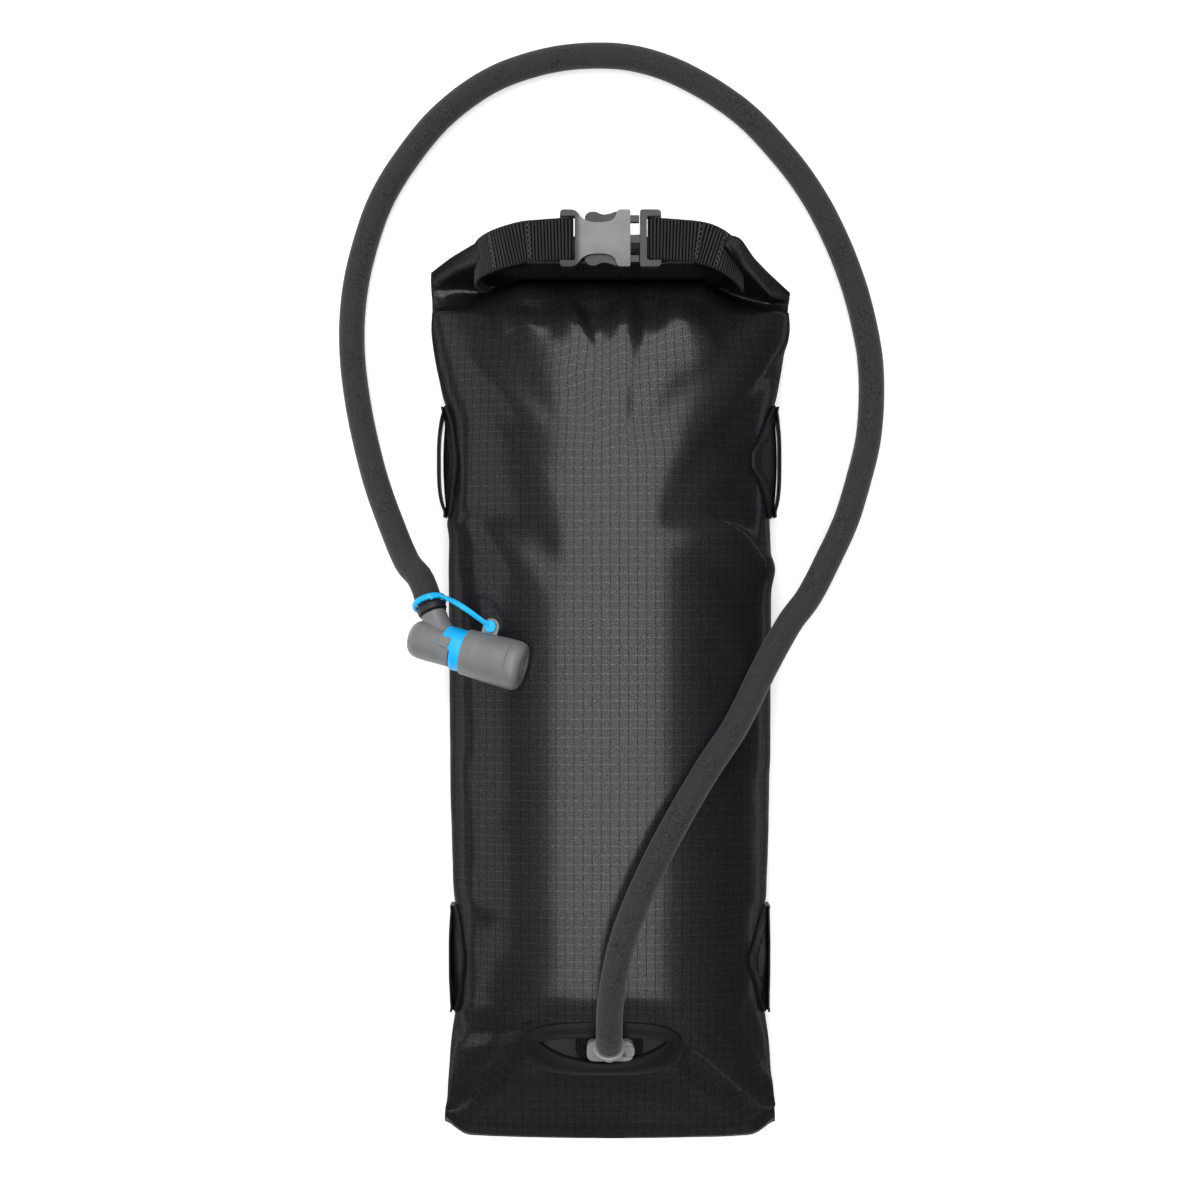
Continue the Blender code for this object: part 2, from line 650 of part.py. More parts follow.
def roll_path(tip_x):
    """The roll's centre line, seen from the roll-top end: a back run and a forward turn at each end."""
    path = []
    middle = ROLL_BACK_Z + ROLL_BEND
    for side in (-1, 1):
        run = []
        for x in (tip_x, ROLL_STRAIGHT):
            run.append(Vector((x, ROLL_TIP_Y, middle + ROLL_BEND)))
        for k in range(1, 8):
            a = math.pi * k / 8
            run.append(Vector((ROLL_STRAIGHT + ROLL_BEND * math.sin(a),
                               ROLL_TIP_Y + (ROLL_BACK_Y - ROLL_TIP_Y) * k / 8,
                               middle + ROLL_BEND * math.cos(a))))
        for x in (ROLL_STRAIGHT, ROLL_STRAIGHT / 2):
            run.append(Vector((x, ROLL_BACK_Y, ROLL_BACK_Z)))
        run = [Vector((side * p.x, p.y, p.z)) for p in run]
        path += run if side < 0 else [Vector((0, ROLL_BACK_Y, ROLL_BACK_Z))] + run[::-1]
    return path


def build_roll():
    path = roll_path(ROLL_TIP_X)
    outer = [(ROLL_TALL / 2 * power(math.cos(a), 3), ROLL_THICK / 2 * power(math.sin(a), 2.4))
             for a in [2 * math.pi * k / 10 for k in range(10)]]
    keep = 1 - 2 * ROLL_WALL / ROLL_THICK
    inner = [(x - math.copysign(ROLL_WALL, x) if abs(x) > 0.1 else 0, y * keep) for x, y in outer]
    new_mesh("roll_top", *swept_pipe(path, outer, inner, (0, 1, 0)), (0.012, 0.012, 0.014), 0.45)
    strip = [(-6.5, -0.7), (6.5, -0.7), (6.5, 0.7), (-6.5, 0.7)]
    new_mesh("roll_stiffener", *swept(path[1:-1], strip, (0, 1, 0)), (0.2, 0.2, 0.2), 0.6, smooth=False)


def build_webbing(name, side):
    """A strap sewn to the roll's end, folded over the buckle's bar and back under itself."""
    low = BUCKLE.z - BAR_THICK / 2 - GAP - WEBBING_THICK / 2
    high = BUCKLE.z + BAR_THICK / 2 + GAP + WEBBING_THICK / 2
    middle = ROLL_BACK_Z + ROLL_BEND
    radius = ROLL_BEND + ROLL_THICK / 2 + 1.1 + WEBBING_THICK * 1.5 + GAP
    path = [(ROLL_STRAIGHT + 6, low), (30, low), (BAR_EDGE, low)]
    turn = (high - low) / 2
    for k in range(1, 6):
        a = math.pi * k / 6
        path.append((BAR_EDGE - turn * math.sin(a) * 0.95, BUCKLE.z - turn * math.cos(a)))
    path += [(BAR_EDGE, high), (27, high - 0.4), (33, middle + radius + 0.5), (42, middle + radius),
             (ROLL_STRAIGHT, middle + radius)]
    for k in range(1, 4):
        a = math.radians(18 * k)
        path.append((ROLL_STRAIGHT + radius * math.sin(a), middle + radius * math.cos(a)))
    far = ROLL_STRAIGHT + radius
    points = []
    for x, z in path:
        t = min(max((x - 24) / (far - 24), 0), 1)
        points.append(Vector((side * x, BUCKLE.y - 3.5 * t, z)))
    half, thick = WEBBING_WIDE / 2, WEBBING_THICK / 2
    section = [(-half, -thick), (half, -thick), (half, thick), (-half, thick)]
    new_mesh(name, *swept(points, section, (0, 1, 0)), (0.014, 0.014, 0.015), 0.8, smooth=False)


def buckle_box(low, high):
    """A box in the buckle's own millimetres, from its low corner to its high corner."""
    centre = [(a + b) / 2 for a, b in zip(low, high)]
    half = [(b - a) / 2 for a, b in zip(low, high)]
    return box(BUCKLE + Vector(centre), half)


def build_buckle():
    black = (0.02, 0.02, 0.022)
    long, tall, deep = BUCKLE_HALF_LENGTH, BUCKLE_HALF_TALL, BUCKLE_THICK / 2
    top = [(-long, tall - 1), (-long + 1, tall), (-17, tall), (-14.5, tall - 1.5), (-11, 8.6), (-7, 7.2),
           (-1, 7.2), (1.4, 8.6), (3.4, 11.5), (3.4, tall), (9.4, tall)]
    outline = [(x, y) for x, y in top] + [(x, -y) for x, y in reversed(top)]
    body = prism(outline, BUCKLE, (1, 0, 0), (0, 1, 0), -deep, deep)
    female = new_mesh("buckle_female", *body, black, 0.35, smooth=False)
    bar, rim = BAR_THICK / 2, tall + 1
    for side in (-1, 1):
        z = sorted((side * bar, side * 6))
        cut(female, buckle_box((-long - 1, -SLOT_HALF, z[0]), (-16.8, SLOT_HALF, z[1])))
        y = sorted((side * 4.6, side * 20))
        cut(female, buckle_box((-13, y[0], -2.6), (3.7, y[1], 2.6)))
        y = sorted((side * 4.8, side * 12.3))
        cut(female, buckle_box((3, y[0], -2.5), (rim, y[1], 2.5)))
    cut(female, buckle_box((-20.4, 0.2 - SLOT_HALF, -9), (-17, SLOT_HALF - 0.2, 9)))
    cut(female, buckle_box((-9, -2.4, -1.9), (rim, 2.4, 1.9)))

    frame = [(14, -tall), (long - 1, -tall), (long, 1 - tall), (long, tall - 1), (long - 1, tall), (14, tall)]
    male = new_mesh("buckle_male", *prism(frame, BUCKLE, (1, 0, 0), (0, 1, 0), -deep, deep), black, 0.35,
                    smooth=False)
    join(male, buckle_box((-8, -2, -1.5), (15, 2, 1.5)))
    for side in (-1, 1):
        z = sorted((side * bar, side * 6))
        cut(male, buckle_box((17, -SLOT_HALF, z[0]), (long + 1, SLOT_HALF, z[1])))
    cut(male, buckle_box((17.2, 0.2 - SLOT_HALF, -9), (20.4, SLOT_HALF - 0.2, 9)))

    inner = [(13.6, 7.9), (3, 7.9), (-4, 7.5), (-9, 7.6), (-12, 9)]
    outer = [(-12.3, 10.4), (-10.6, 12.6), (-7, 12.9), (-4.2, 11.3), (-1, 11.6), (2.9, 13), (2.9, 11.3),
             (5, 11.1), (13.6, 11.1)]
    for name, side in (("buckle_arm_upper", 1), ("buckle_arm_lower", -1)):
        shape = prism([(x, side * y) for x, y in inner + outer], BUCKLE, (1, 0, 0), (0, 1, 0),
                      -ARM_THICK / 2, ARM_THICK / 2)
        new_mesh(name, *shape, black, 0.35, smooth=False,
                 home=BUCKLE + Vector((ARM_HINGE[0], side * ARM_HINGE[1], 0)))


def build_lash_tab(name, side, centre_y, half_long):
    """A patch wrapped round the bag's side, and the strip that stands off it."""
    rubber = (0.02, 0.02, 0.022)
    rows, steps = 7, 8
    wide = steps + 1
    points = []
    for lift in (PATCH_GAP, PATCH_GAP + PATCH_THICK):
        for r in range(rows):
            t = 2 * r / (rows - 1) - 1
            y = centre_y + half_long * t
            reach = math.radians(50 - 18 * max(0.0, (abs(t) - 0.3) / 0.7))
            for k in range(wide):
                a = reach * (2 * k / steps - 1)
                place = bag_point(y, a, -lift)
                points.append(Vector((side * place.x, y, max(place.z, 0.6 + lift - PATCH_GAP))))
    half_count = rows * wide
    faces = []
    for r in range(rows - 1):
        for k in range(steps):
            a = r * wide + k
            quad = (a, a + 1, a + 1 + wide, a + wide)
            faces += [quad, tuple(i + half_count for i in reversed(quad))]
    edge = [k for k in range(wide)]
    edge += [r * wide + wide - 1 for r in range(1, rows)]
    edge += [(rows - 1) * wide + k for k in range(wide - 2, -1, -1)]
    edge += [r * wide for r in range(rows - 2, 0, -1)]
    for a, b in zip(edge, edge[1:] + edge[:1]):
        faces.append((b, a, a + half_count, b + half_count))
    new_mesh(f"lash_patch_{name}", points, faces, rubber, 0.5)

    seam = bag_at(centre_y)[1]
    skin = PATCH_GAP + PATCH_THICK + GAP
    out = []
    for u, lift in ((-1, 0), (-0.86, 0), (-0.8, 1.2), (-0.68, 3.9), (-0.6, 1.0 * LASH_STAND)):
        y = centre_y + half_long * u
        out.append((y, lift, u))
    out += [(2 * centre_y - y, lift, -u) for y, lift, u in reversed(out)]
    flat_x = bag_at(centre_y)[0] + skin + LASH_STAND + LASH_STRIP / 2
    path = []
    for y, lift, u in out:
        x = bag_at(y)[0] + skin + LASH_STRIP / 2 + lift
        path.append(Vector((side * (flat_x if abs(u) <= 0.6 else min(x, flat_x)), y, seam)))
    half, thick = LASH_WIDE / 2, LASH_STRIP / 2
    section = [(-half, -thick), (half, -thick), (half, thick), (-half, thick)]
    new_mesh(f"lash_loop_{name}", *swept(path, section, (0, 0, 1)), rubber, 0.5, smooth=False)


def main():
    clear_scene()
    build_sleeve()
    build_port_patch()
    build_reservoir()
    build_port()
    build_hose()
    build_valve()
    build_roll()
    build_webbing("webbing_left", -1)
    build_webbing("webbing_right", 1)
    build_buckle()
    for level, (centre_y, half_long) in LASH_TABS.items():
        build_lash_tab(f"left_{level}", -1, centre_y, half_long)
        build_lash_tab(f"right_{level}", 1, centre_y, half_long)


main()
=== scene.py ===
"""Looks of the roll-top hydration bladder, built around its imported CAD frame.

Shapes are worked out in millimetres in the CAD's own frame, and place() turns them into metres. The bladder
lies on its back: +Z is its thickness and +Y points to the roll-top.
"""

import math

import bmesh
import bpy
import numpy as np
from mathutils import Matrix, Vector, noise
from mathutils.bvhtree import BVHTree


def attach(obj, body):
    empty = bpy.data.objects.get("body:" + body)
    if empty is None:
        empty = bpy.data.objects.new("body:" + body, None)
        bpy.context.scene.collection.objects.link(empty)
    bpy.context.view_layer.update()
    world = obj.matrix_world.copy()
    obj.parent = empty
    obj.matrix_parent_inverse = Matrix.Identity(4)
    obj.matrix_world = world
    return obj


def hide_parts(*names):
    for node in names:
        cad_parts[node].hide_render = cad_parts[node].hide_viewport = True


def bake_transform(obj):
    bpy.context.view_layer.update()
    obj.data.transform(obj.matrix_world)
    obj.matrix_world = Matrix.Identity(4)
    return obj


MM = 0.001
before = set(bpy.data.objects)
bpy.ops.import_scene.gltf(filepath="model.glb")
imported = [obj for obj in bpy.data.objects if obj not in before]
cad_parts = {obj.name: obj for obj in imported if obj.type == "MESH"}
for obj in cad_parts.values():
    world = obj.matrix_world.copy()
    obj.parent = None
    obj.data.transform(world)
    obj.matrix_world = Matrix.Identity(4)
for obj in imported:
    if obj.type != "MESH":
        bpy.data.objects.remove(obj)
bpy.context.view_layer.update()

# Camera: straight above the bag, as wide as the photograph's view at the height of the bag's side seam.
EYE = (-5, 43.5, 1100)
SEEN_WIDTH = 600
SEEN_HEIGHT = 22
SENSOR = 36

# The filled sleeve, as in the CAD but fuller near the top and a little wider below: y, half width, seam
# height, rise of the front, drop of the back.
BAG_STATIONS = [
    (-228.5, 83.5, 10.5, 0.6, 0.6), (-219, 83.2, 11, 4.8, 4), (-203, 81.6, 13, 11, 9),
    (-178, 79.8, 17, 21, 18.5), (-164, 77.8, 18.5, 25, 21), (-150, 75.6, 19.5, 28.5, 22.7),
    (-120, 75.8, 21, 32.5, 25), (-102, 78, 21.5, 34, 25.5), (-36, 79.8, 22, 36, 26.5),
    (60, 80.5, 22.5, 36, 27), (95, 79.5, 23.2, 35, 27.6), (128, 79.5, 23.8, 33.6, 28),
    (146, 83.5, 24, 31.8, 27.5), (168, 87, 25, 29, 23), (186, 88.5, 26, 21, 12), (198.5, 89, 26, 14, 4.5),
]
FRONT_ROUNDNESS = 2.3
BACK_ROUNDNESS = 3.2
HEM_Y, HEM_Z = -228.5, 10.5
LOWEST = 0.3

# Port, hose, valve, buckle and lash tabs: for each tab, its middle and half its length along y.
PORT_X, PORT_Y = -0.5, -178
SLIT_X, SLIT_HALF = -3.5, 31
SLIT_TOP, SLIT_BOTTOM, SLIT_TIP = -171.2, -184.8, -173.4
PATCH_CENTRE, PATCH_HALF = (-3.5, -177.6), (39.5, 14.3)
HOSE_LEAN = 44
HOSE_BEND_AT = 7.2
HOSE_RADIUS = 6.5
TUBE_RADIUS = 4.6
HOSE_SIDE = (0.3, 0.2, 1)
VALVE_START = Vector((-97, 25.9, 56.8))
VALVE_END = Vector((-42.1, 11.2, 68.4))
HOSE_END = Vector((-87.3, 41, 54.3))
NECK_JOIN = 18.5
COVER_START, COVER_LENGTH = 28.2, 30.2
COVER_RADIUS = 12.0
LUG_AT, LUG_OUT, LUG_RADIUS = 38, 15.0, 3.9
BUCKLE = Vector((0, 215, 75))
LASH_TABS = {"upper": (112, 28), "lower": (-135, 27)}
# How far round the side each patch reaches, in degrees, and how far its strap stands off it.
LASH_REACH = {"left_upper": (21, 3.3), "right_upper": (32, 2.4), "left_lower": (20, 1.5),
              "right_lower": (27, 1.0)}

# The hose's centre line between the port and the valve, point by point as in the CAD.
HOSE_ROUTE = [
    (0, -150, 64), (4.5, -124, 72), (12, -102, 73.5), (22.7, -79, 71), (35, -57, 66.5), (48, -36, 61.5),
    (61, -17, 56.5), (75, 10, 49), (88, 32, 40.5), (98, 45, 36), (108, 63, 29), (118, 83, 21),
    (125, 103.5, 14.5), (130.5, 124, 9.5), (132.5, 144.5, 7.2), (132, 165, 6.8), (128.5, 185, 6.8),
    (123, 205, 6.8), (115, 225.5, 6.8), (104.5, 246, 6.8), (90.5, 266, 6.8), (68, 290, 6.8),
    (40.5, 308, 6.8), (15, 317.5, 6.8), (-10, 319.5, 6.8), (-35.5, 316, 6.8), (-62, 306, 6.8),
    (-86, 288, 6.8), (-104, 266, 6.8), (-116, 246, 6.8), (-123.5, 225.5, 6.8), (-128.5, 205, 6.8),
    (-130.7, 185, 6.8), (-130.3, 164.5, 7.5), (-127.5, 144, 10), (-123, 123.5, 15), (-117, 103, 22.5),
    (-109, 82.5, 32), (-99.8, 62.5, 42.5),
]

# Webbing, the ripstop's grid in metres, and the photographer's floor.
RIB_PITCH = 1.6
STRAP_HALF, STRAP_THICK = 9.9, 0.85
RIPSTOP_PITCH = 0.0044
FLOOR_HALF = 4000

# Where rays that look for the front start, and their direction.
RAY_FROM = 200
DOWN = Vector((0, 0, -1))


# ---------------------------------------------------------------- meshes

def place(name, points, faces, uvs=None, sharp=38):
    """A mesh object from points in millimetres. uvs has one (u, v) for each corner of each face."""
    mesh = bpy.data.meshes.new(name)
    mesh.from_pydata((np.array([tuple(p) for p in points], float) * MM).tolist(), [], faces)
    if uvs is not None:
        layer = mesh.uv_layers.new(name="cloth")
        layer.data.foreach_set("uv", np.asarray(uvs, np.float32).ravel())
    made = bpy.data.objects.new(name, mesh)
    bpy.context.scene.collection.objects.link(made)
    mesh.shade_smooth()
    if sharp:
        mesh.set_sharp_from_angle(angle=math.radians(sharp))
    return made


def outward(obj, merge=0.0):
    """Merges doubles and turns all faces out."""
    tidy = bmesh.new()
    tidy.from_mesh(obj.data)
    if merge:
        bmesh.ops.remove_doubles(tidy, verts=tidy.verts, dist=merge * MM)
    bmesh.ops.recalc_face_normals(tidy, faces=tidy.faces)
    tidy.to_mesh(obj.data)
    tidy.free()
    return obj


def settle(obj):
    """Applies every modifier, so that the mesh is final."""
    graph = bpy.context.evaluated_depsgraph_get()
    final = bpy.data.meshes.new_from_object(obj.evaluated_get(graph))
    obj.modifiers.clear()
    obj.data = final
    return obj


def soften(obj, width, segments=3, angle=30):
    """Rounds the edges of a moulded piece."""
    edge = obj.modifiers.new("edge", "BEVEL")
    edge.width = width * MM
    edge.segments = segments
    edge.limit_method = "ANGLE"
    edge.angle_limit = math.radians(angle)
    edge.harden_normals = True
    return obj


def fuse(obj, voxel, rounds=4):
    """Melts overlapping shapes into one skin with soft fillets where they meet."""
    remesh = obj.modifiers.new("fuse", "REMESH")
    remesh.mode = "VOXEL"
    remesh.voxel_size = voxel * MM
    remesh.use_smooth_shade = True
    smooth = obj.modifiers.new("round", "SMOOTH")
    smooth.factor = 0.5
    smooth.iterations = rounds
    return settle(obj)


def combine(name, shapes):
    """One object from several (points, faces)."""
    points, faces = [], []
    for more_points, more_faces in shapes:
        shift = len(points)
        points += list(more_points)
        faces += [tuple(i + shift for i in f) for f in more_faces]
    return outward(place(name, points, faces))


def subtract(obj, *shapes, operation="DIFFERENCE"):
    """Cuts shapes out of obj for good, or joins them on."""
    for shape in shapes:
        helper = outward(place("helper", *shape, sharp=0))
        step = obj.modifiers.new("cut", "BOOLEAN")
        step.operation = operation
        step.solver = "EXACT"
        step.object = helper
        bpy.context.view_layer.update()
        settle(obj)
        bpy.data.objects.remove(helper)
    return obj


def finished(obj, body, finish, *nodes):
    """Gives a piece its material and slot, puts it on its body and hides the CAD nodes that it stands for.
    body is a body's name, or (body, other body, start, end) for a piece between two bodies; such a piece is
    put on no body and only fixed where it lies, and the tuple's entries are not used."""
    obj.data.materials.clear()
    obj.data.materials.append(finish)
    if isinstance(body, str):
        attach(obj, body)
    else:
        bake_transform(obj)
    if nodes:
        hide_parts(*nodes)
    return obj


def piece(name, shape, body, finish, *nodes, edge=(), sharp=38):
    """A finished piece from points, faces and maybe uvs. edge holds soften's arguments."""
    made = outward(place(name, *shape, sharp=sharp))
    if edge:
        soften(made, *edge)
    return finished(made, body, finish, *nodes)


def frame_along(direction, side):
    """Axes (across, up, along) with along on the direction and across as near as it can be to side."""
    along = Vector(direction).normalized()
    across = (Vector(side) - along * Vector(side).dot(along)).normalized()
    return across, along.cross(across), along


def angles(steps):
    """The angles of one whole turn."""
    return [2 * math.pi * k / steps for k in range(steps)]


def spin(across, up, angle):
    """The direction at an angle from across, towards up."""
    return across * math.cos(angle) + up * math.sin(angle)


def ring_faces(rings, size, closed=False):
    faces = []
    for r in range(rings if closed else rings - 1):
        nxt = (r + 1) % rings
        for k in range(size):
            k2 = (k + 1) % size
            faces.append((r * size + k, r * size + k2, nxt * size + k2, nxt * size + k))
    return faces


def turned(profile, base, axis, side=(0, 0, 1), steps=64, solid=True):
    """Points and faces of (distance along, radius) turned about an axis. solid closes both ends."""
    across, up, along = frame_along(axis, side)
    points = [Vector(base) + along * s + spin(across, up, a) * r for s, r in profile for a in angles(steps)]
    faces = ring_faces(len(profile), steps, closed=not solid)
    if solid:
        faces += [tuple(range(steps)), tuple(range((len(profile) - 1) * steps, len(profile) * steps))]
    return points, faces


def prism(outline, base, across, up, low, high):
    """Points and faces of a flat outline, given in (across, up), extruded along their normal."""
    across, up = Vector(across), Vector(up)
    out = across.cross(up)
    count = len(outline)
    points = [Vector(base) + across * x + up * y + out * h for h in (low, high) for x, y in outline]
    return points, ring_faces(2, count) + [tuple(range(count)), tuple(range(count, 2 * count))]


def rounded(corners, steps=6):
    """A closed outline from (x, y, radius) corners, each turned into an arc of that radius."""
    outline = []
    for i, (x, y, radius) in enumerate(corners):
        here = Vector((x, y))
        before = Vector(corners[i - 1][:2]) - here
        after = Vector(corners[(i + 1) % len(corners)][:2]) - here
        reach = min(radius, before.length * 0.49, after.length * 0.49)
        if reach < 0.05:
            outline.append((x, y))
            continue
        a, b = here + before.normalized() * reach, here + after.normalized() * reach
        for k in range(steps + 1):
            t = k / steps
            outline.append(tuple(a * (1 - t) ** 2 + here * 2 * t * (1 - t) + b * t * t))
    return outline


def plate(x0, y0, x1, y1, radius=0.0, steps=5):
    """Outline of a rectangle with round corners."""
    return rounded([(x0, y0, radius), (x1, y0, radius), (x1, y1, radius), (x0, y1, radius)], steps)


def catmull(rows, steps):
    """Extra rows on a Catmull-Rom curve through rows of points. The first and last rows only guide it."""
    made = []
    for a, b, c, d in zip(rows, rows[1:], rows[2:], rows[3:]):
        for k in range(steps):
            t = k / steps
            made.append(0.5 * (2 * b + (c - a) * t + (2 * a - 5 * b + 4 * c - d) * t * t
                               + (3 * b - a - 3 * c + d) * t ** 3))
    return made


def smooth_route(route, spacing):
    """Points at an even spacing on a Catmull-Rom curve through the route's points."""
    route = [Vector(p) for p in route]
    dense = catmull([route[0] * 2 - route[1], *route, route[-1] * 2 - route[-2]], 24) + [route[-1]]
    runs = [0.0]
    for a, b in zip(dense, dense[1:]):
        runs.append(runs[-1] + (b - a).length)
    count = max(2, round(runs[-1] / spacing))
    points, j = [], 0
    for k in range(count + 1):
        want = runs[-1] * k / count
        while j < len(runs) - 2 and runs[j + 1] < want:
            j += 1
        points.append(dense[j].lerp(dense[j + 1], (want - runs[j]) / max(runs[j + 1] - runs[j], 1e-9)))
    return points


def length_of(path):
    return sum((b - a).length for a, b in zip(path, path[1:]))


def swept(path, section, side):
    """Points, faces and corner uvs of a section carried along a path. section is a list of (across, up),
    or a function of (index, distance along) that returns one."""
    points, runs, run = [], [], 0.0
    for i, here in enumerate(path):
        along = path[min(i + 1, len(path) - 1)] - path[max(i - 1, 0)]
        across, up, _ = frame_along(along, side)
        if i:
            run += (here - path[i - 1]).length
        runs.append(run)
        outline = section(i, run) if callable(section) else section
        points += [here + across * x + up * y for x, y in outline]
    size = len(outline)
    girth = [0.0]
    for k in range(size):
        (x0, y0), (x1, y1) = outline[k], outline[(k + 1) % size]
        girth.append(girth[-1] + math.hypot(x1 - x0, y1 - y0))
    faces = ring_faces(len(path), size)
    uvs = [(girth[i], runs[j]) for r in range(len(path) - 1) for k in range(size)
           for i, j in ((k, r), (k + 1, r), (k + 1, r + 1), (k, r + 1))]
    for first in (0, len(points) - size):
        faces.append(tuple(range(first, first + size)))
        uvs += outline if first == 0 else [outline[i % size] for i in range(first, first + size)]
    return points, faces, np.array(uvs) * MM


def circle(radius, steps=32, x=0.0, y=0.0):
    return [(x + radius * math.cos(a), y + radius * math.sin(a)) for a in angles(steps)]


def oblong(half, thick, round_off=None):
    """Outline of a flat strap: a rectangle with round corners."""
    return plate(-half, -thick, half, thick, min(half, thick) if round_off is None else round_off)


def grain(p, size, seed=0.0):
    """Smooth noise from -1 to 1 at a point in millimetres, with lumps of about that size."""
    return noise.noise(Vector(p) / size + Vector((seed, seed * 1.7, -seed)))


# ---------------------------------------------------------------- materials

class Graph:
    """A material's nodes: each method adds a node and returns its output."""

    def __init__(self, name, colour, roughness, specular=0.5, metallic=0.0, **more):
        self.made = bpy.data.materials.new(name)
        self.made.use_nodes = True
        self.tree = self.made.node_tree
        self.shader = self.tree.nodes["Principled BSDF"]
        self.set("Base Color", (*colour, 1.0))
        self.set("Roughness", roughness)
        self.set("Specular IOR Level", specular)
        self.set("Metallic", metallic)
        for socket, value in more.items():
            self.set(socket.replace("_", " "), value)
        self.made.diffuse_color = (*colour, 1.0)

    def set(self, socket, value):
        if isinstance(value, bpy.types.NodeSocket):
            self.tree.links.new(value, self.shader.inputs[socket])
        else:
            self.shader.inputs[socket].default_value = value

    def add(self, kind, inputs=(), **settings):
        node = self.tree.nodes.new(kind)
        for key, value in settings.items():
            setattr(node, key, value)
        for key, value in dict(inputs).items():
            if isinstance(value, bpy.types.NodeSocket):
                self.tree.links.new(value, node.inputs[key])
            else:
                node.inputs[key].default_value = value
        return node

    def coords(self, kind="Object"):
        return self.add("ShaderNodeTexCoord").outputs[kind]

    def scaled(self, coords, scale, turn=(0, 0, 0)):
        return self.add("ShaderNodeMapping", {"Vector": coords, "Scale": scale, "Rotation": turn}).outputs[0]

    def noise(self, coords, size, detail=3.0, rough=0.6):
        """Noise with lumps of that size in millimetres."""
        return self.add("ShaderNodeTexNoise", {"Vector": coords, "Scale": 1 / (size * MM), "Detail": detail,
                                               "Roughness": rough}).outputs[0]

    def cells(self, coords, size):
        return self.add("ShaderNodeTexVoronoi", {"Vector": coords, "Scale": 1 / (size * MM)}).outputs[0]

    def maths(self, operation, a, b=0.0):
        return self.add("ShaderNodeMath", {0: a, 1: b}, operation=operation).outputs[0]

    def times(self, first, *others):
        for other in others:
            first = self.maths("MULTIPLY", first, other)
        return first

    def plus(self, first, *others):
        for other in others:
            first = self.maths("ADD", first, other)
        return first

    def remap(self, value, a=0.3, b=0.7, low=0.0, high=1.0):
        """The value from a to b taken smoothly to low to high, and held beyond."""
        return self.add("ShaderNodeMapRange", {"Value": value, "From Min": a, "From Max": b, "To Min": low,
                                               "To Max": high}, interpolation_type="SMOOTHSTEP").outputs[0]

    def blend(self, factor, a, b):
        node = self.add("ShaderNodeMix", data_type="RGBA")
        for socket, value in ((node.inputs[0], factor), (node.inputs[6], a), (node.inputs[7], b)):
            if isinstance(value, bpy.types.NodeSocket):
                self.tree.links.new(value, socket)
            else:
                socket.default_value = (*value, 1.0) if isinstance(value, tuple) else value
        return node.outputs[2]

    def bump(self, height, depth, strength):
        """Bump of that depth in millimetres."""
        return self.add("ShaderNodeBump", {"Height": height, "Strength": strength,
                                           "Distance": depth * MM}).outputs[0]


def shade(colour, by):
    return tuple(c * by for c in colour)


def ripstop(name, colour, roughness, specular, coat):
    """Coated ripstop: thick threads in a square grid over a fine plain weave, under a thin satin coating. The
    grid lines carry painted highlights and painted shade in their colour.
    """
    g = Graph(name, colour, roughness, specular, Coat_Weight=coat, Coat_Roughness=0.17)
    cloth = g.coords("UV")
    grid = g.add("ShaderNodeSeparateXYZ", {0: g.scaled(cloth, (1 / RIPSTOP_PITCH, 1 / RIPSTOP_PITCH, 1))})
    upright, level = (g.remap(g.maths("PINGPONG", output, 0.5), 0.075, 0.02) for output in grid.outputs[:2])
    line = g.maths("MAXIMUM", upright, level)
    warp, weft = (g.noise(g.scaled(cloth, stretch), 0.8, 2.0) for stretch in ((1, 0.16, 1), (0.16, 1, 1)))
    thread = g.plus(g.times(warp, 0.5), g.times(weft, 0.5))
    speck = g.noise(cloth, 0.6, 1.0)
    cloud = g.noise(cloth, 38, 4.0)
    lit_dashes = g.times(level, g.remap(g.noise(cloth, 2.2, 2.0), 0.42, 0.6))
    base = g.blend(g.remap(thread, 0.36, 0.64), shade(colour, 0.62), shade(colour, 1.4))
    base = g.blend(g.remap(cloud), base, shade(colour, 1.15))
    # Painted shade: the upright grid lines are darker in colour, standing in for their weaker sheen.
    base = g.blend(g.times(upright, 0.35), base, shade(colour, 0.4))
    # Painted highlight: broken dashes of the level grid lines are lighter in colour, standing in for the
    # light their raised threads catch.
    g.set("Base Color", g.blend(g.times(lit_dashes, 0.6), base, shade(colour, 2.0)))

    def glints(bright, dark, spread):
        """How much single threads shine: the dashes more, the upright lines less, the specks either way."""
        weave = g.plus(g.times(lit_dashes, bright), g.times(upright, -dark))
        return g.plus(weave, g.remap(speck, 0.3, 0.7, -spread, spread))

    facing = g.add("ShaderNodeLayerWeight", {"Blend": 0.5}).outputs["Facing"]
    steep = g.remap(facing, 0.14, 0.6, 1.0, 0.08)
    gloss = g.remap(glints(2.2, 0.8, 1.1), -2, 2, specular * 0.2, specular * 1.8)
    g.set("Specular IOR Level", g.times(gloss, steep))
    g.set("Coat Weight", g.times(g.remap(glints(0.9, 0.5, 0.35), -1, 1, 0.0, coat * 2), steep))
    g.set("Roughness", g.plus(g.remap(thread, 0.3, 0.7, roughness + 0.07, roughness - 0.06),
                              g.times(line, 0.04), g.remap(cloud, 0.3, 0.7, -0.02, 0.03)))
    height = g.plus(g.times(line, 0.3), g.times(thread, 0.5), g.times(speck, 0.4))
    g.set("Normal", g.bump(height, 0.05, 0.8))
    return g.made


